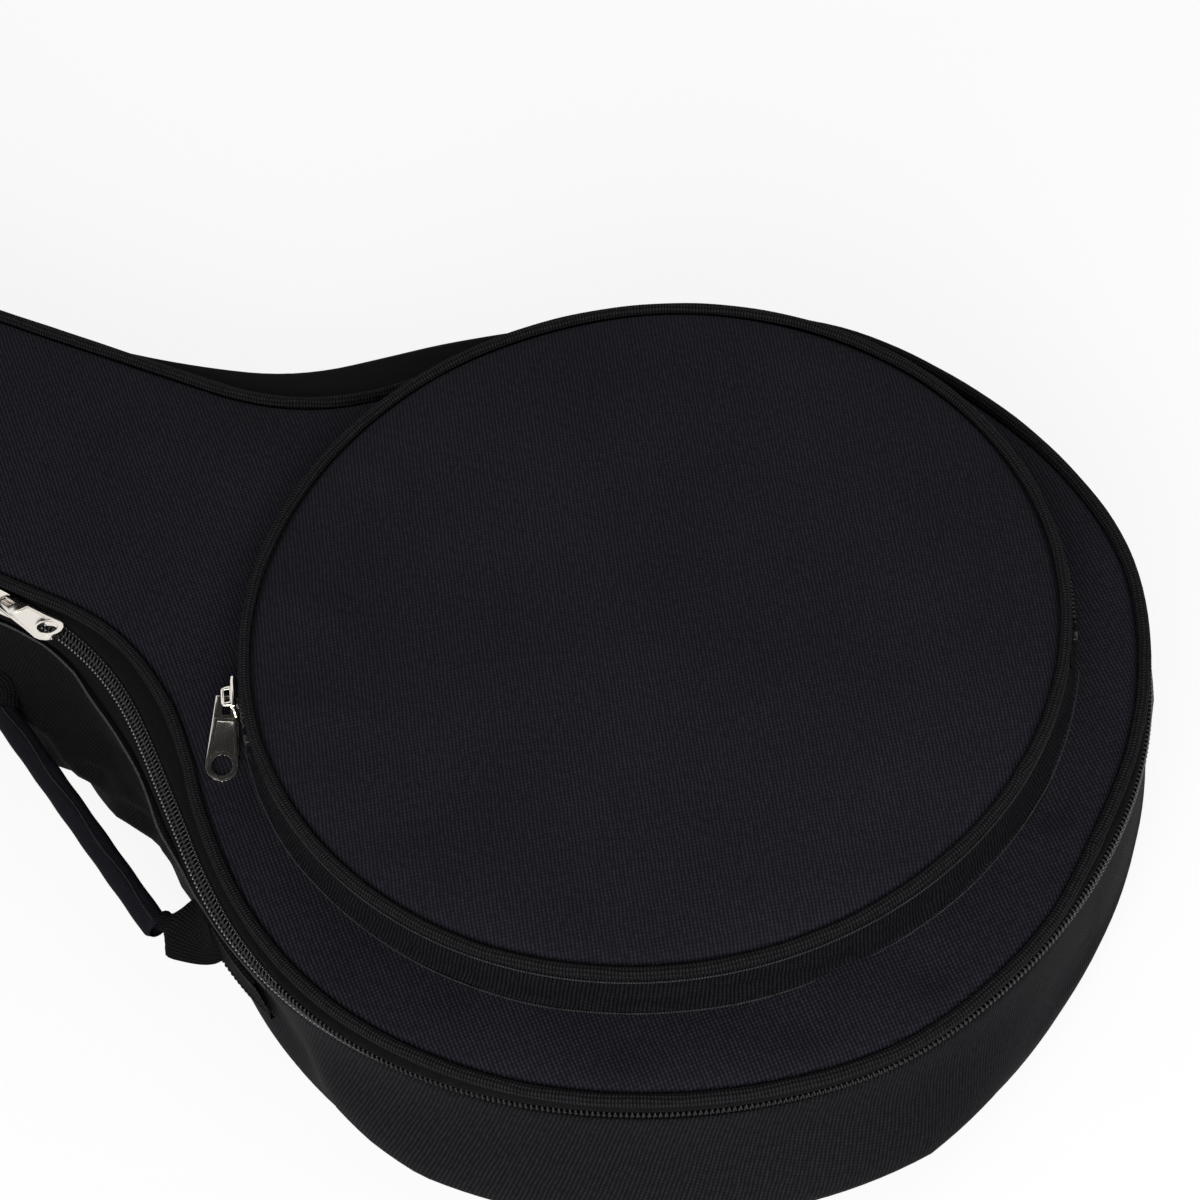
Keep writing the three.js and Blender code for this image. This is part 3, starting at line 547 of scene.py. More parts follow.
PANEL_COLOUR = (0.0079, 0.0075, 0.0104)
pocket_cloth = cloth("pocket_cloth", PANEL_COLOUR, (1.42, 1.4), angle=-35, contrast=0.62, bump=0.7, patch=0.2)
panel_cloth = cloth("panel_cloth", PANEL_COLOUR, (1.48, 1.5), angle=-47.6, weft=0.5, contrast=0.7, bump=0.7,
                    patch=0.22)
# The side wall's cloth carries painted shade round the hollow beside the handle on the near wall.
wall_cloth = cloth("wall_cloth", (0.0056, 0.0055, 0.0065), (1.5, 1.3), angle=20, contrast=0.7, slack=0.15,
                   hollow=((-0.235, -0.09, 0.05), 0.13, 0.6))
# Pocket wall: crumpled cloth with real bumps, its colour painted darker than the wall cloth as painted shade
# under the pocket's edge.
crushed_shaded_cloth = cloth("crushed_shaded_cloth", (0.0041, 0.004, 0.0049), (1.5, 1.3), angle=10, contrast=1, bump=0.7,
                      patch=0.2)
piping_cloth = cloth("piping_cloth", (0.0092, 0.0091, 0.0102), (1.25, 1.6), weft=0.8, contrast=1, bump=1,
                     depth=0.5)
tape_cloth = cloth("tape_cloth", (0.0036, 0.0036, 0.0038), (0.8, 0.8), angle=45, bump=0.25)
webbing_cloth = cloth("webbing_cloth", (0.0038, 0.0038, 0.0042), (1.9, 1.3), weft=0.8, contrast=1, bump=0.9,
                      depth=0.5)
# Painted highlight: the wall's turned edge, in a colour far lighter than the wall cloth it is made of.
lip_highlight_cloth = cloth("lip_highlight_cloth", (0.036, 0.035, 0.039), (0.9, 0.7), contrast=0.8, bump=0.4)
lining_cloth = cloth("lining_cloth", (0.007, 0.007, 0.008), (0.6, 0.6), contrast=0.3, bump=0.2, slack=0.25,
                     roughness=0.55)
seam_cloth = cloth("seam_cloth", (0.02, 0.0195, 0.021), (1, 0.7), contrast=1, bump=0.4)
thread_cloth = cloth("thread_cloth", (0.016, 0.016, 0.0165), (0.5, 0.5), angle=30, contrast=0.6, bump=0.4)
nickel = metal("nickel", (0.78, 0.74, 0.68), 0.12)
coil_plastic = plastic("coil_plastic", (0.0095, 0.0095, 0.01), 0.28)
# Painted highlights: beads far lighter than the coil, standing for light caught on the coil's bends.
bend_highlight_plastic = plastic("bend_highlight_plastic", (0.16, 0.16, 0.165), 0.3)
dim_bend_highlight_plastic = plastic("dim_bend_highlight_plastic", (0.1, 0.1, 0.103), 0.35)


# Back of the case

def settle(piece, body, slot, *nodes):
    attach(piece, body)
    if nodes:
        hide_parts(*nodes)


settle(
    pad("back_sheet", base_line, [10, 16, 24], lambda depth, points: 0 * depth, wall_cloth, 14, flip=True),
    "shell", "panel_cloth", "back_panel", "back_foam",
)
settle(
    ring("back_edge", wall_line, [(-10, 0), (-6.4, 0.9), (-2.9, 3.2), (-0.9, 7), (0, 12.2), (-0.6, 13.4)],
         wall_cloth, bump=tuck),
    "shell", "panel_cloth",
)

# Side wall: from the back seam out over the belly, and in to the turned edge under the zip tape.
# Levels of (share of the way from wall_line to top_line, grow, height)

WALL_PROFILE = [
    (0, -1, 12.6), (0, 0.4, 13.4), (0, 0.8, 17), (0, 0.6, 25), (0, 0.2, 32.5), (0, 0, 36.5), (0.03, 0, 41),
    (0.1, 0, 46), (0.2, 0, 52), (0.36, 0, 58), (0.58, 0.2, 64), (0.8, 0.6, 69), (0.93, 0.9, 72.5),
    (1, 0.7, 75.2), (1, -0.3, 76.2), (1, -1.4, 75.6),
]
BELLY_HEIGHT = 36
HOLLOW_X = -205
HOLLOW_REACH = 52


def wall_bump(line, z):
    """Belly and slack of the wall: long shallow swells, and tighter folds in the hollow by the handle."""
    full = ease(min((z - BACK_SEAM) / (BELLY_HEIGHT - BACK_SEAM), (WALL_TOP - z) / (WALL_TOP - BELLY_HEIGHT)))
    free = sin(pi * np.clip((z - BACK_SEAM) / (WALL_TOP - BACK_SEAM), 0, 1))
    x, y = line.p.T
    hollow = np.exp(-(((x - HOLLOW_X) / HOLLOW_REACH) ** 4)) * (y < 0)
    fold = soft(np.column_stack([line.s * 0.4, z * 1.5 - line.s * 0.55]), 13, 8.1)
    crease = soft(np.column_stack([line.s * 0.5 + z * 0.3, z * 1.2 + line.s * 0.15]), 9, 4.7)
    slack = 1.2 * uneven(line, z * 1.6, 60, 3.3) + hollow * (4.4 * fold + 2.4 * crease)
    return tuck(line, z) + full * by_angle(line.p, BELLY) + free * slack


def wall_row(stations, z, lift):
    """The wall's surface at a height, raised by a lift, at stations of the outlines."""
    shares, grows, heights = np.array(WALL_PROFILE[1:-2]).T
    between = mix(wall_line, top_line, np.interp(z, heights, shares))
    line = between.at(stations, np.arange(len(between.p)))
    return row(line, np.interp(z, heights, grows) + wall_bump(line, z) + lift, z)


def wall_lift(line, z):
    """The wall's edge stands higher round the body, where it covers the zip's lower tape."""
    return by_angle(line.p, RISE) * ease((z - 58) / 18)


wall = band("side_wall", wall_line, top_line, WALL_PROFILE, wall_cloth, bump=wall_bump, lift=wall_lift)
settle(wall, "shell", "wall_cloth", "side_wall_cloth", "side_wall_foam_far", "side_wall_foam_near")

# Along the neck and its near shoulder the wall's turned edge stands up as a thin lip beside the zip tape. Its
# cloth is painted far lighter than the wall's, as a painted highlight along the lip.
LIP_FROM = 190
LIP_TO = 248
LIP_HEIGHT = 76.9
lip_angles = angles_of(top_line.p)
along_lip = (lip_angles > LIP_FROM) & (lip_angles < LIP_TO)
lip = grown(top_line, 0.9 + uneven(top_line, 0, 17, 6.6))
lip_line = Line(lip.p[along_lip], lip.n[along_lip], closed=False)
settle(cord("wall_lip", lip_line, LIP_HEIGHT, 0.5, lip_highlight_cloth, sides=8, wobble=0), "shell", "wall_cloth")

# Inside of the case: wall lining over the padding's top edge, binding and floor lining

LINING_PROFILE = [
    (1, -2.6, 76.4), (1, -4.6, 75.4), (0.85, -7.2, 74.2), (0.6, -9, 71), (0.3, -9.4, 66), (0.1, -7.6, 55),
    (0, -5.4, 44), (0, -4.9, 36), (0, -6.6, 24), (0, -9.6, 14), (0, -10, 11.6),
]


def lining_bump(line, z):
    return tuck(line, z) + 0.8 * uneven(line, z, 34, 5.2)


settle(
    band("side_lining", wall_line, top_line, LINING_PROFILE, lining_cloth, bump=lining_bump),
    "shell", "lining", "side_wall_lining",
)
settle(
    ring("base_binding", wall_line, [(-9.4, 13.6), (-10.4, 13.4), (-12.5, 12.9), (-15, 12.3), (-15.2, 11.4)],
         webbing_cloth),
    "shell", "webbing", "base_seam_binding",
)


def floor_height(depth, points):
    return LINING_FLOOR + 1.2 * ease((depth - 14) / 30) + 0.5 * soft(points, 70, 1.7)


floor_line = grown(wall_line, tuck(wall_line, LINING_FLOOR))
floor_lining = pad("floor_lining", floor_line, [9.6, 12, 15, 20, 27, 36], floor_height, lining_cloth, 12)
settle(floor_lining, "shell", "lining", "back_lining")

# Main zip tapes and the cloth hinge

HINGE_START = HINGE_FROM // DISC_STEP
HINGE_STOP = HINGE_TO // DISC_STEP


def leant(out, up, lean):
    """Where a place comes, out and up, when it is turned by an angle."""
    return out * np.cos(lean) - up * np.sin(lean), up * np.cos(lean) + out * np.sin(lean)


def chain_row(line, across, out):
    """A row of the zip: across the chain and out of it. The chain leans in where the tapes lie sloped."""
    grow, rise = leant(out, across, np.radians(by_angle(line.p, TILT)))
    return row(line, grow, ZIP_HEIGHT + rise)


LOWER_TAPE = [(-5.8, 0.9), (-4.2, 0.7), (-2.6, 0.4), (-0.8, 0.3)]
UPPER_TAPE = [(0.8, 0.3), (2.6, 0.4), (4.2, 0.8), (5.4, 0.9)]
tape_top = top_line.part(HINGE_STOP, HINGE_START)
tape_middle = zip_line.part(HINGE_STOP, HINGE_START)
tape_lid = lid_line.part(HINGE_STOP, HINGE_START)
lower_tape_rows = [row(tape_top, -1.4, 74.2), row(tape_top, -1.9, 76)]
lower_tape_rows += [chain_row(tape_middle, *place) for place in LOWER_TAPE]
upper_tape_rows = [chain_row(tape_middle, *place) for place in UPPER_TAPE]
upper_tape_rows += [row(tape_lid, 0.9, 89.6), row(tape_lid, -0.8, 90.4)]
for side, body, rows in (("lower", "shell", lower_tape_rows), ("upper", "lid", upper_tape_rows)):
    tape = loft(f"main_{side}_tape", refined(rows), tape_cloth, tape_middle)
    settle(tape, body, "zip_tape", f"main_zip_{side}_tape")
hinge_cloth = band(
    "hinge_cloth", zip_line, lid_line,
    [(0, -0.6, 74.2), (0, 0.8, 74.8), (0, 1.4, 77), (0, 1.9, 81), (0.2, 2, 85), (0.7, 1.4, 88.4),
     (1, -0.6, 90.3)],
    wall_cloth, stretch=(HINGE_START, HINGE_STOP),
)
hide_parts("lid_hinge_cloth")
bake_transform(hinge_cloth)

# Small shapes that repeat along a line

SIDES = 5
ROUND = [(cos(2 * pi * k / SIDES), sin(2 * pi * k / SIDES)) for k in range(SIDES)]


def capped_tube(rings):
    """The faces of a thin tube with closed ends."""
    last = SIDES * (rings - 1)
    edges = [(k, (k + 1) % SIDES) for k in range(SIDES)]
    faces = [[i + k, i + j, i + SIDES + j, i + SIDES + k] for i in range(0, last, SIDES) for k, j in edges]
    return faces + [list(range(SIDES))[::-1], list(range(last, last + SIDES))]


def repeated(name, spots, local, one, material):
    """One shape at each spot of a line. local gives its corners as (along, out, height), one its faces."""
    count, size = len(spots.p), local.shape[-2]
    local = np.broadcast_to(local, (count, size, 3))
    along = np.column_stack([-spots.n[:, 1], spots.n[:, 0]])
    flat = spots.p[:, None] + along[:, None] * local[..., :1] + spots.n[:, None] * local[..., 1:2]
    verts = np.concatenate([flat, local[..., 2:]], axis=2).reshape(-1, 3)
    faces = [[v + t * size for v in f] for t in range(count) for f in one]
    return finish_mesh(name, verts, faces, np.zeros((sum(map(len, faces)), 2)), material)


# Zip teeth: each turn of the nylon coil is one bent bar, sewn down outside and with its head in the middle

TOOTH_PITCH = 2
TOOTH_RADIUS = 0.44
TOOTH_PATH = [(-0.3, 0.5, -3.25), (-0.3, 1.5, -3.1), (-0.1, 2.1, -1.6), (0.15, 1.9, 0.1), (0.2, 1.1, 0.55)]
COIL_MARGIN = 3
BEND_RADII = (0.5, 0.55, 0.85)
BEND_OUT = 1.55


def turns(line, shift=0):
    """The spots of a coil's turns along an open line."""
    return line.at(np.arange(COIL_MARGIN + shift, line.length - COIL_MARGIN, TOOTH_PITCH))


def teeth(name, line, z, up, leans=((0, 0),)):
    """A coil along an open line. up is 1 for the coil whose heads point up, leans a table of slopes."""
    spots = turns(line, 0 if up > 0 else TOOTH_PITCH / 2)
    path = np.array(TOOTH_PATH)
    tangents = np.gradient(path, axis=0)
    tangents /= norm(tangents, axis=1)[:, None]
    tooth = []
    for point, tangent in zip(path, tangents):
        a = np.cross(tangent, [1, 0, 0])
        a /= norm(a)
        b = np.cross(tangent, a)
        tooth.extend(point + TOOTH_RADIUS * (x * a + y * b) for x, y in ROUND)
    tooth = np.array(tooth) * (1, 1, up)
    out, height = leant(tooth[:, 1], tooth[:, 2], np.radians(by_angle(spots.p, leans))[:, None])
    local = np.stack([np.broadcast_to(tooth[:, 0], out.shape), out, height + z], axis=2)
    return repeated(name, spots, local, [f[::up] for f in capped_tube(len(path))], coil_plastic)


def bends(name, line, across, scale, least_lean, highlight_plastic):
    """Painted highlights on a coil's bends: one small bead of light plastic for each turn, along its sewn
    edge where it leans enough.
    """
    spots = turns(line)
    kept = by_angle(spots.p, TILT) >= least_lean
    spots = Line(spots.p[kept], spots.n[kept], closed=False)
    out, height = leant(BEND_OUT, across, np.radians(by_angle(spots.p, TILT)))
    steps = np.array([(0, 0, 1), (1, 0, 0), (0, 1, 0), (-1, 0, 0), (0, -1, 0), (0, 0, -1)])
    middle = np.column_stack([0 * out, out, ZIP_HEIGHT + height])
    one = [(0, 1, 2), (0, 2, 3), (0, 3, 4), (0, 4, 1), (5, 2, 1), (5, 3, 2), (5, 4, 3), (5, 1, 4)]
    return repeated(name, spots, middle[:, None] + scale * steps * BEND_RADII, one, highlight_plastic)


main_coil_line = zip_line.part(HINGE_STOP + 4, HINGE_START - 4)
for side, body, up in (("lower", "shell", 1), ("upper", "lid", -1)):
    coil = teeth(f"main_{side}_coil", main_coil_line, ZIP_HEIGHT, up, TILT)
    settle(coil, body, "zip_coil", f"main_zip_{side}_coil")
settle(bends("main_lower_bend_highlights", main_coil_line, -3.2, 1, -90, bend_highlight_plastic), "shell", "zip_coil")
settle(bends("main_upper_bend_highlights", main_coil_line, 3.2, 0.62, 8, dim_bend_highlight_plastic), "lid", "zip_coil")

# Lid: piping, crowned front panel and its lining

LID_EDGE = 90.2
LID_LINING = 84

# Soft dents of the lid beside the pocket: place, width and depth
DENTS = [
    ((157, 7), 8, -4.2),
    ((168, -14), 7, -2.2),
    ((148, -72), 9, -4),
    ((116, -112), 8, -3),
    ((62, -146), 9, -2.6),
    ((-8, -150), 8, -2),
]


def crown(depth, groove, shoulder, shoulder_reach, rim, rim_reach):
    """How a padded panel rises inward from the seam of its piping."""
    inward = depth - 2
    risen = groove * ease(inward / 2.8) + shoulder * (1 - np.exp(-inward / shoulder_reach))
    return risen + rim * (1 - np.exp(-inward / rim_reach))


def lid_height(depth, points):
    dents = 0
    for place, wide, deep in DENTS:
        dents += deep * np.exp(-((points - place) ** 2).sum(axis=1) / wide**2)
    return LID_EDGE + crown(depth, 2.4, 3, 10, 0.8, 4) + 0.6 * soft(points, 45, 2.4) + dents
PANEL_RINGS = [1, 2, 2.5, 3.2, 4.2, 5.4, 7, 9, 11.5, 15, 20, 26]
front_panel = pad("front_cloth", lid_line, PANEL_RINGS, lid_height, panel_cloth, cell=8)
settle(front_panel, "lid", "panel_cloth", "front_panel", "front_foam")


def lid_lining_height(depth, points):
    return LID_LINING + 4.6 * (1 - ease((depth - 3.4) / 4)) + 0.25 * soft(points, 50, 6.4)


front_lining = pad("lid_lining", lid_line, [3.2, 4, 5, 6.2, 8, 11, 16, 24], lid_lining_height, lining_cloth,
                   cell=12, flip=True)
settle(front_lining, "lid", "lining", "front_lining")
settle(
    cord("main_piping", lid_line, WELT_HEIGHT, MAIN_WELT_RADIUS, piping_cloth, knots=[1]),
    "lid", "piping_cloth", "front_piping",
)

# Front pocket

fold_a, fold_b = flap_line.p[[0, -1]]
fold_along = (fold_a - fold_b) / norm(fold_a - fold_b)


def fold_with_flap(piece, slot, *nodes):
    """Hides the CAD parts that the piece replaces and bakes its place into its mesh."""
    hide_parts(*nodes)
    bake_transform(piece)


# Soft folds of the pocket's panel: start at its edge, end, width and height
FOLDS = [
    ((-150, 30), (-98, 26), 5.5, 2),
    ((-138, -36), (-78, -50), 6, 2.3),
    ((-112, -82), (-46, -66), 6.5, 2.2),
    ((-40, -126), (-18, -96), 5.5, 1.3),
]


def folds(points):
    total = 0
    for start, end, wide, high in FOLDS:
        axis = np.subtract(end, start)
        long = norm(axis)
        along = (points - start) @ axis / long**2
        across = (points - start) @ (-axis[1], axis[0]) / long
        total += high * np.exp(-((across / wide) ** 2)) * ease(1 - along) * ease(1 + along * 3)
    return total


def pocket_height(depth, points):
    slack = 0.6 * ease((depth - 20) / 80) + 0.8 * soft(points, 55, 9.4)
    return POCKET_EDGE + crown(depth, 2.3, 2.8, 13, 1.5, 4.5) + slack + folds(points) * ease((depth - 3) / 10)


POCKET_RINGS = [1, 2, 2.5, 3.2, 4.4, 6, 8, 10.5, 14, 19, 26, 36]
pocket_panel = pad("pocket_front", pocket_line, POCKET_RINGS, pocket_height, pocket_cloth, cell=7)
fold_with_flap(pocket_panel, "panel_cloth", "pocket_panel_flap", "pocket_panel_sewn")


def pocket_lining_height(depth, points):
    return POCKET_LINING + 1.6 * (1 - ease((depth - 2.4) / 5)) + 0.2 * soft(points, 40, 4.4)


pocket_lining = pad("pocket_lining", pocket_line, [2.4, 4, 6, 9, 14, 22], pocket_lining_height, lining_cloth,
                    cell=10, flip=True)
fold_with_flap(pocket_lining, "foam", "pocket_foam_flap", "pocket_foam_sewn")
pocket_piping = cord("pocket_piping", pocket_line, POCKET_WELT_HEIGHT, WELT_RADIUS, piping_cloth,
                     knots=[POCKET_RADIUS * radians(POCKET_KNOT)])
fold_with_flap(pocket_piping, "piping_cloth", "pocket_piping_flap", "pocket_piping_sewn")


def pocket_bump(line, z):
    """Slack of the pocket's wall, most of it at mid height."""
    loose = exp(-(((z - 102) / 6) ** 2))
    return loose * (2 * uneven(line, z * 2.2, 16, 2.9) + 1.5 * uneven(line, z * 2.2, 6, 1.3))


settle(
    ring("pocket_wall", sewn_line,
         [(5.6, 94.6), (5.4, 95.6), (4.3, 95.9), (3.3, 97.2), (2.2, 101), (1.3, 105.5), (0.9, 108.6),
          (1, 110.2), (1.2, 111.6), (0.8, 113.2), (-0.4, 114)],
         crushed_shaded_cloth, bump=pocket_bump),
    "lid", "wall_cloth", "pocket_wall_cloth",
)
settle(
    ring("pocket_lower_tape", flap_line,
         [(5.2, 94.6), (5, 95.5), (3.6, 95.9), (2.6, 98), (1.9, 101), (1.8, 104.4)], tape_cloth),
    "lid", "zip_tape", "pocket_zip_lower_tape",
)
upper_pocket_tape = ring("pocket_upper_tape", flap_line,
                         [(1.8, 106), (1.9, 109), (1.6, 111.6), (0.6, 113.2), (-0.6, 114)], tape_cloth)
settle(upper_pocket_tape, "pocket_flap", "zip_tape", "pocket_zip_upper_tape")
pocket_coil_line = pocket_arc(POCKET_ZIP_FROM + 5, POCKET_ZIP_TO - 5, radius=POCKET_RADIUS + 1.5)
for side, body, up in (("lower", "lid", 1), ("upper", "pocket_flap", -1)):
    coil = teeth(f"pocket_{side}_coil", pocket_coil_line, POCKET_ZIP_HEIGHT - 0.1 * up, up)
    settle(coil, body, "zip_coil", f"pocket_zip_{side}_coil")
base_seam_line = grown(pocket_line, 4.9 + 0.5 * uneven(pocket_line, 0, 30, 3.6))
base_seam = cord("pocket_base_seam", base_seam_line, POCKET_BASE_SEAM, 0.34, seam_cloth, sides=6, wobble=0)
top_seam = cord("pocket_top_seam", grown(sewn_line, 1.5), POCKET_TOP_SEAM, 0.4, seam_cloth, sides=6, wobble=0)
settle(base_seam, "lid", "webbing")
settle(top_seam, "lid", "webbing")


# Zip sliders and pullers: the CAD shapes with their edges rounded

PULLER_CUT = 3.5
PULLER_CUT_FROM = 8
PLATE_EDGE = 0.3
BRIDGE_EDGE = 0.22
PULLER_EDGE = 0.26
STOP_EDGE = 0.5
UP = Vector((0, 0, 1))


def shortened(mesh, bar, lengthwise):
    """Takes a little off a puller's plain middle."""
    for vertex in mesh.vertices:
        if (vertex.co - bar).dot(lengthwise) > PULLER_CUT_FROM * MM:
            vertex.co -= lengthwise * PULLER_CUT * MM


def rounded_copy(node_name, body, width, turn=None, material=nickel, cut=None):
    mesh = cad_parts[node_name].data.copy()
    if cut is not None:
        shortened(mesh, *cut)
    if turn is not None:
        mesh.transform(turn)
    piece = linked(f"{node_name}_smooth", mesh)
    mesh.materials.clear()
    mesh.materials.append(material)
    given(piece.modifiers.new("weld", "WELD"), merge_threshold=0.02 * MM)
    given(piece.modifiers.new("flat", "DECIMATE"), decimate_type="DISSOLVE", angle_limit=radians(1.5))
    given(piece.modifiers.new("edge", "BEVEL"), width=width * MM, segments=2, limit_method="ANGLE",
          angle_limit=radians(40))
    mesh.polygons.foreach_set("use_smooth", [True] * len(mesh.polygons))
    settle(piece, body, "nickel", node_name)


def moved(old, rotation, new):
    """Turns a piece about its point old and puts that point at new."""
    return Matrix.Translation(new) @ rotation @ Matrix.Translation(-old)


def nearest(line, place):
    return np.argmin(norm(line.p - place, axis=1))


def leaned(node_name):
    """Lays a main slider and its puller over with the sloped tapes where it stands."""
    plain = outline(ZIP_SHOULDERS)
    near = nearest(plain, np.mean(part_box(node_name), axis=0)[:2] / MM)
    normal = plain.n[near]
    lean = radians(by_angle(plain.p[[near]], TILT)[0])
    shift = normal * ((zip_line.p[near] - plain.p[near]) @ normal)
    middle = Vector((*plain.p[near], ZIP_HEIGHT)) * MM
    turn = Matrix.Rotation(lean, 4, Vector((normal[1], -normal[0], 0)))
    return moved(middle, turn, middle + Vector((*shift, 0)) * MM)


def swung(out, direction, swing):
    """The direction along the zip where out is its outward normal, swung outward by an angle."""
    out = Vector((*out, 0)).normalized()
    return Vector((-out.y, out.x, 0)) * direction * cos(swing) + out * sin(swing)


def turned_frame(old, new, new_up):
    """The turn of a puller that lay flat along old, and lies along new with its face to new_up."""
    before = Matrix((old, UP.cross(old), UP)).transposed()
    after = Matrix((new, new_up.cross(new), new_up)).transposed()
    return (after @ before.transposed()).to_4x4()


# The pullers hang loose in their bridges. The pocket's one has dropped onto the lid, face up, and the
# main one at the body's end is propped up on the zip. Each turns about its bar in the bridge.
POCKET_BAR = Vector((-140.27, -83.06, 105.2)) * MM
POCKET_SLIDER_SHIFT = radians(-1.7)
POCKET_BAR_ANGLE = radians(215.5)
POCKET_PULLER_SWING = radians(183)
POCKET_PULLER_ALONG = Vector((0.385, -0.877, -0.29)).normalized()
POCKET_PULLER_UP = Vector((-0.893, -0.432, 0.122)).normalized()
BODY_BAR = Vector((-260.35, -72.64, 83.5)) * MM
BODY_PULLER_LIFT = Vector((0.6, 0.9, 3.4)) * MM
BODY_PULLER_SWING = radians(5)
BODY_PULLER_ALONG = Vector((0.946, -0.278, 0.181)).normalized()
BODY_PULLER_UP = Vector((0.325, 0.898, -0.302)).normalized()
BODY_PULLER_PLACE = np.array([-261, -66])

pocket_old = swung((cos(POCKET_BAR_ANGLE), sin(POCKET_BAR_ANGLE)), -1, POCKET_PULLER_SWING)
pocket_middle = Vector((*POCKET_CENTRE, 0)) * MM
pocket_slide = moved(pocket_middle, Matrix.Rotation(POCKET_SLIDER_SHIFT, 4, "Z"), pocket_middle)
pocket_turn = turned_frame(pocket_old, POCKET_PULLER_ALONG, POCKET_PULLER_UP)
body_old = swung(zip_line.n[nearest(zip_line, BODY_PULLER_PLACE)], 1, BODY_PULLER_SWING)
body_up = BODY_PULLER_UP - BODY_PULLER_ALONG * BODY_PULLER_UP.dot(BODY_PULLER_ALONG)
body_turn = turned_frame(body_old, BODY_PULLER_ALONG, body_up.normalized())
body_place = leaned("body_end_slider") @ BODY_BAR + BODY_PULLER_LIFT

for prefix in ("body_end", "head_end"):
    lay = leaned(f"{prefix}_slider")
    rounded_copy(f"{prefix}_slider", f"{prefix}_slider", PLATE_EDGE, lay)
    rounded_copy(f"{prefix}_slider_bridge", f"{prefix}_slider", BRIDGE_EDGE, lay)
rounded_copy("head_end_puller", "head_end_puller", PULLER_EDGE, leaned("head_end_slider"))
rounded_copy("body_end_puller", "body_end_puller", PULLER_EDGE, moved(BODY_BAR, body_turn, body_place))
rounded_copy("pocket_slider", "pocket_slider", PLATE_EDGE, pocket_slide)
rounded_copy("pocket_slider_bridge", "pocket_slider", BRIDGE_EDGE, pocket_slide)
pocket_drop = moved(POCKET_BAR, pocket_turn, pocket_slide @ POCKET_BAR)
rounded_copy("pocket_puller", "pocket_puller", PULLER_EDGE, pocket_drop, cut=(POCKET_BAR, pocket_old))
for stop in ("main_zip_stop_body", "main_zip_stop_neck", "pocket_zip_stop_neck", "pocket_zip_stop_body"):
    rounded_copy(stop, "lid" if stop.startswith("pocket") else "shell", STOP_EDGE, material=coil_plastic)

# Handle: a cloth tube over folded webbing, whose ends open out and are sewn to the wall

HANDLE_HEIGHT = 46
WEBBING_WIDTH = 28
WEBBING_THICKNESS = 1.8
GRIP_RADIUS = 5.3
BODY_END = np.array([-106.7, -158.2])
NECK_END = np.array([-279.2, -76.3])
NECK_TAIL = 28
BODY_TAIL = 35
BODY_TAIL_CUT = 9
STAND_OFF_NECK = 1.6
STAND_OFF_BODY = 9.6
HANDLE_STEP = 0.004
span = BODY_END - NECK_END
span_length = float(norm(span))
span_out = np.array([span[1], -span[0]]) / span_length
GRIP_FROM = NECK_TAIL / span_length
GRIP_TO = 1 - BODY_TAIL / span_length


def handle_point(share):
    """Middle of the handle at a share of the way from its neck end to its body end."""
    middle = STAND_OFF_NECK + (STAND_OFF_BODY - STAND_OFF_NECK) * (share - GRIP_FROM) / (GRIP_TO - GRIP_FROM)
    rise = ease(min(share / GRIP_FROM, 1)) * ease(min((1 - share) / (1 - GRIP_TO), 1))
    return NECK_END + span * share + span_out * middle * rise


def handle_row(share, section):
    """The points (out, up) of a section at a share of the handle's way."""
    tangent = handle_point(share + HANDLE_STEP) - handle_point(share - HANDLE_STEP)
    out = np.array([tangent[1], -tangent[0]]) / norm(tangent)
    return np.column_stack([handle_point(share) + out * section[:, :1], HANDLE_HEIGHT + section[:, 1]])


def tube(name, shares, section, material):
    """A loft along the handle. section gives the points (out, up) for a share."""
    return loft(name, [handle_row(share, section(share)) for share in shares], material)


GRIP_SIDES = 40


def grip_section(share):
    """Round, a little flat where the cloth's folded edge laps over itself on the inner side."""
    end = min(share - GRIP_FROM, GRIP_TO - share) * span_length
    size = GRIP_RADIUS * (0.72 + 0.28 * ease(end / 2.2)) * (1 + 0.02 * sin(share * 60))
    angle = 2 * pi * np.arange(GRIP_SIDES) / GRIP_SIDES
    lap = np.degrees(angle) - 98 - 4 * sin(share * 25)
    radius = size + 0.55 * ease((lap + 40) / 38) * (lap < 0) - 0.35 * np.exp(-((lap / 7) ** 2))
    return np.column_stack([radius * np.cos(angle), radius * np.sin(angle) * 0.97])


GRIP_END = 0.014
grip_shares = np.concatenate([
    np.linspace(GRIP_FROM, GRIP_FROM + GRIP_END, 6)[:-1],
    np.linspace(GRIP_FROM + GRIP_END, GRIP_TO - GRIP_END, 60),
    np.linspace(GRIP_TO - GRIP_END, GRIP_TO, 6)[1:],
])
grip_cloth = cloth("grip_cloth", (0.0050, 0.0048, 0.0066), (0.9, 0.9), angle=45, contrast=0.35, bump=0.3,
                   patch=0.2)
settle(tube("grip_cover", grip_shares, grip_section, grip_cloth), "handle", "grip_cover", "handle_grip")
SEAM_TURN = radians(92)
SEAM_RADIUS = 0.34


def grip_seam(share):
    """The folded edge of the grip's cloth, a thin bead on its inner side."""
    out, up = leant(GRIP_RADIUS + 0.15, 0, SEAM_TURN + 0.1 * sin(share * 30))
    angle = np.arange(6) * pi / 3
    return np.column_stack([out + SEAM_RADIUS * np.cos(angle), up + SEAM_RADIUS * np.sin(angle)])


settle(tube("grip_seam", grip_shares[3:-3], grip_seam, thread_cloth), "handle", "grip_cover")
STRIP_SAMPLES = 18
STRIP_ACROSS = np.linspace(-WEBBING_WIDTH / 2, WEBBING_WIDTH / 2, STRIP_SAMPLES + 1)
STRIP_TURN = radians(58)
WALL_GAP = 0.4


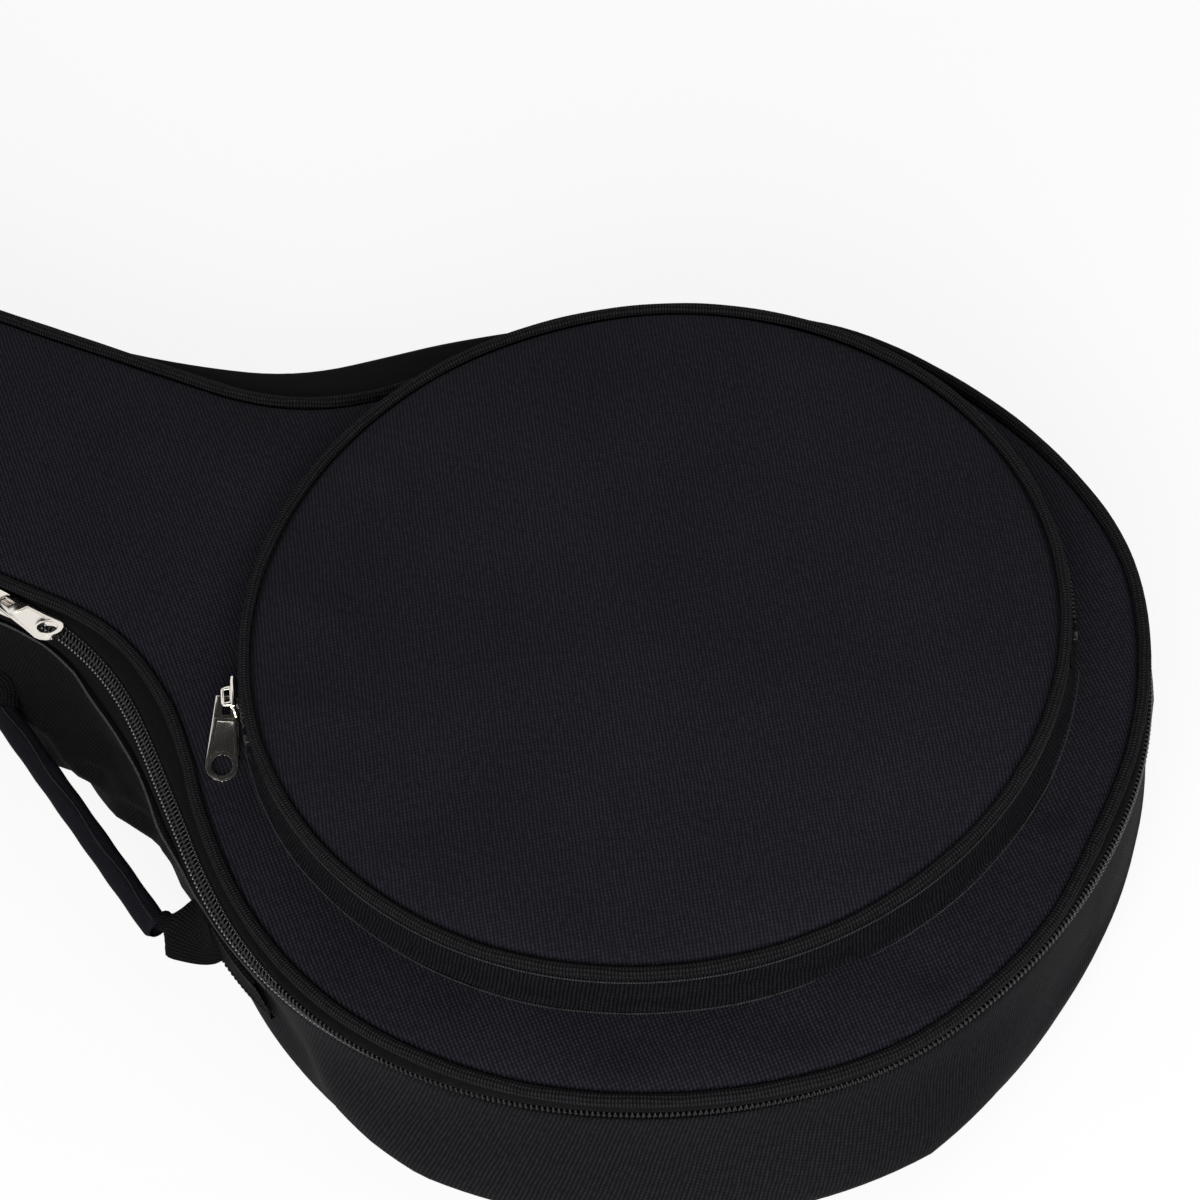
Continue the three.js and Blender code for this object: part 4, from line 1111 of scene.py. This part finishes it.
def strip_section(way, lobe):
    """The webbing's section: rolled up at the grip, opened and turned face up beside it, flat at the wall."""
    bend = 3.4 + 150 * ease(way) ** 2
    turn = STRIP_TURN * ease(way / 0.3) * ease((1 - way) / 0.55)
    hump = ease(way / 0.35) * ease((1 - way) / 0.5)
    angles = STRIP_ACROSS / bend
    faces = []
    for radius in (bend + WEBBING_THICKNESS / 2, bend - WEBBING_THICKNESS / 2):
        out, up = leant(radius * np.cos(angles) - bend, radius * np.sin(angles), turn)
        faces.append(np.column_stack([out - lobe[0] * hump, up + lobe[1] * hump]))
    return np.vstack([faces[0], faces[1][::-1]])


def near_station(x):
    """The station of the near wall at a place along the case."""
    near = np.arange(len(wall_line.p) // 2, len(wall_line.p))
    return np.interp(x, wall_line.p[near, 0], near)


def webbing_tail(name, wall_share, grip_share, land_x, lobe):
    """The loose end of the webbing, from inside the grip to where it lands on the wall."""
    station = np.array([near_station(land_x)])
    outer, inner = ([wall_row(station, HANDLE_HEIGHT + z, lift)[0] for z in STRIP_ACROSS]
                    for lift in (WALL_GAP + WEBBING_THICKNESS, WALL_GAP))
    landing = np.array(outer + inner[::-1])
    rows = []
    for way in np.linspace(0, 1, 24):
        loose = handle_row(grip_share + (wall_share - grip_share) * way, strip_section(way, lobe))
        held = ease((way - 0.35) / 0.65)
        rows.append(loose * (1 - held) + landing * held)
    piece = loft(name, rows, webbing_cloth)
    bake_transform(piece)
    return piece


ANCHOR_AT_NECK = (-312, -279)
ANCHOR_AT_BODY = (-116, -88)
TAIL_IN_GRIP = 0.02
neck_tail = webbing_tail("webbing_at_neck", 0, GRIP_FROM + TAIL_IN_GRIP, ANCHOR_AT_NECK[1], (3, 5))
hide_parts("handle_webbing")
webbing_tail("webbing_at_body", 1 - BODY_TAIL_CUT / span_length, GRIP_TO - TAIL_IN_GRIP, ANCHOR_AT_BODY[0],
             (5, 7))
STITCH_PITCH = 2.4
STITCH_LENGTH = 1.8
STITCH_RADIUS = 0.28
STITCH_GAP = 0.12


def stitches(name, line, z):
    """A row of thread stitches that lie on the surface, each a small bent capsule."""
    spots = line.at(np.arange(STITCH_PITCH, line.length - STITCH_PITCH, STITCH_PITCH))
    local = []
    for share, thick, rise in ((-0.5, 0.35, 0), (-0.3, 1, 0.12), (0.3, 1, 0.12), (0.5, 0.35, 0)):
        for x, y in ROUND:
            out = rise + STITCH_RADIUS * thick * x + STITCH_GAP
            local.append((share * STITCH_LENGTH, out, STITCH_RADIUS * thick * y + z))
    return repeated(name, spots, np.array(local), capped_tube(4), thread_cloth)


def anchor(name, from_x, to_x, node_name):
    """The sewn end of the webbing, lying on the wall, with its rows of stitches."""
    stations = np.linspace(near_station(from_x), near_station(to_x), 14)
    levels = np.linspace(HANDLE_HEIGHT - WEBBING_WIDTH / 2, HANDLE_HEIGHT + WEBBING_WIDTH / 2, 13)
    outer = [wall_row(stations, z, 2 + 0.25 * sin((z - levels[0]) * 1.2)) for z in levels]
    first = wall_row(stations, levels[0] - 0.1, 0.1)
    last = wall_row(stations, levels[-1] + 0.1, 0.1)
    line = wall_line.at(stations, np.arange(len(wall_line.p)))
    settle(loft(name, [first, *outer, last], webbing_cloth, line), "shell", "webbing", node_name)
    for i, level in enumerate((1, -2)):
        seam = Line(outer[level][:, :2], line.n, closed=False)
        settle(stitches(f"{name}_stitches_{i}", seam, levels[level]), "shell", "webbing")


anchor("body_anchor", *ANCHOR_AT_BODY, "handle_anchor_body")
anchor("neck_anchor", *ANCHOR_AT_NECK, "handle_anchor_neck")


# Floor, world, lamps and camera

FLOOR_SIZE = 9
FLOOR_BRIGHTNESS = 0.86
WORLD_LIGHT = 0.27
WHITE = (1, 1, 1, 1)


def seen_rays(tree):
    """1 for rays that show a thing by itself, in a mirror or through glass, and 0 for rays of light."""
    rays = node(tree, "LightPath", {})
    seen = maths(tree, "MAXIMUM", rays["Is Camera Ray"], rays["Is Glossy Ray"])
    return maths(tree, "MAXIMUM", seen, rays["Is Transmission Ray"])


def stage_plate(name, across, along, height, material):
    """A flat plate between two values across and two along. It faces up if both rise."""
    (x0, x1), (y0, y1) = across, along
    mesh = bpy.data.meshes.new(name)
    mesh.from_pydata([(x0, y0, height), (x1, y0, height), (x1, y1, height), (x0, y1, height)], [], [range(4)])
    mesh.materials.append(material)
    plate = linked(name, mesh)
    return plate


def floor_paint():
    material, tree, shader = new_material("floor_paint", [FLOOR_BRIGHTNESS] * 3, 0.6)
    shader.inputs["Specular IOR Level"].default_value = 0.2
    glow = node(tree, "Emission", {"Color": WHITE})
    share = maths(tree, "MULTIPLY", seen_rays(tree), FLOOR_BRIGHTNESS)
    shown = node(tree, "MixShader", {0: share, 1: shader.outputs[0], 2: glow[0]})
    fill(tree, tree.nodes["Material Output"], {"Surface": shown[0]})
    return material


def lamp(name, place, target, size, power):
    data = bpy.data.lights.new(name, "AREA")
    given(data, shape="RECTANGLE", size=size[0], size_y=size[1], energy=power)
    turn = (Vector(target) - Vector(place)).to_track_quat("-Z", "Y").to_euler()
    return given(linked(name, data), location=place, rotation_euler=turn)


stage_plate("studio_floor", (-FLOOR_SIZE, FLOOR_SIZE), (-FLOOR_SIZE, FLOOR_SIZE), 0, floor_paint())
world = bpy.data.worlds.new("studio")
world.use_nodes = True
sky = world.node_tree
sky_light = maths(sky, "MULTIPLY_ADD", seen_rays(sky), 1 - WORLD_LIGHT, WORLD_LIGHT)
fill(sky, sky.nodes["Background"], {"Color": WHITE, "Strength": sky_light})
scene.world = world
lamp("key", (0.72, -1.48, 1.15), (0.05, 0, 0), (1.3, 1), 46)
lamp("top", (0.34, -0.04, 0.95), (0.14, -0.04, 0.1), (0.7, 0.7), 1.6).visible_glossy = False
lamp("fill", (-1.6, -1.2, 1.4), (0, 0, 0), (1.4, 1.2), 2)
lamp("rim", (0.6, 2, 1.6), (0, 0, 0.05), (1.8, 0.9), 11)

# A dark card overhead, seen only in the reflections of the metal pieces
card_paint, _, _ = new_material("card_paint", (0.01, 0.01, 0.01), 0.9)
card = stage_plate("dark_card", (0.75, -0.8), (-0.75, 0.8), 1.5, card_paint)
given(card, visible_camera=False, visible_diffuse=False, visible_shadow=False)

# The photograph's camera, fitted to the outlines of body and pocket
AZIMUTH = radians(35)
ELEVATION = radians(52.56)
ROLL = radians(-9.11)
DISTANCE = 1.5
AIM = Vector((-0.0385, 0.02565, 0.095))
FOCAL_PIXELS = 3885
FRAME_PIXELS = 1200
SENSOR = 36


def build_camera():
    data = bpy.data.cameras.new("camera")
    given(data, sensor_width=SENSOR, lens=FOCAL_PIXELS / FRAME_PIXELS * SENSOR, clip_end=50)
    camera = linked("camera", data)
    aimed = Matrix.Translation(AIM) @ Matrix.Rotation(AZIMUTH, 4, "Z")
    tipped = aimed @ Matrix.Rotation(pi / 2 - ELEVATION, 4, "X") @ Matrix.Rotation(ROLL, 4, "Z")
    camera.matrix_world = tipped @ Matrix.Translation((0, 0, DISTANCE))
    scene.camera = camera


build_camera()
scene.view_settings.view_transform = "Standard"
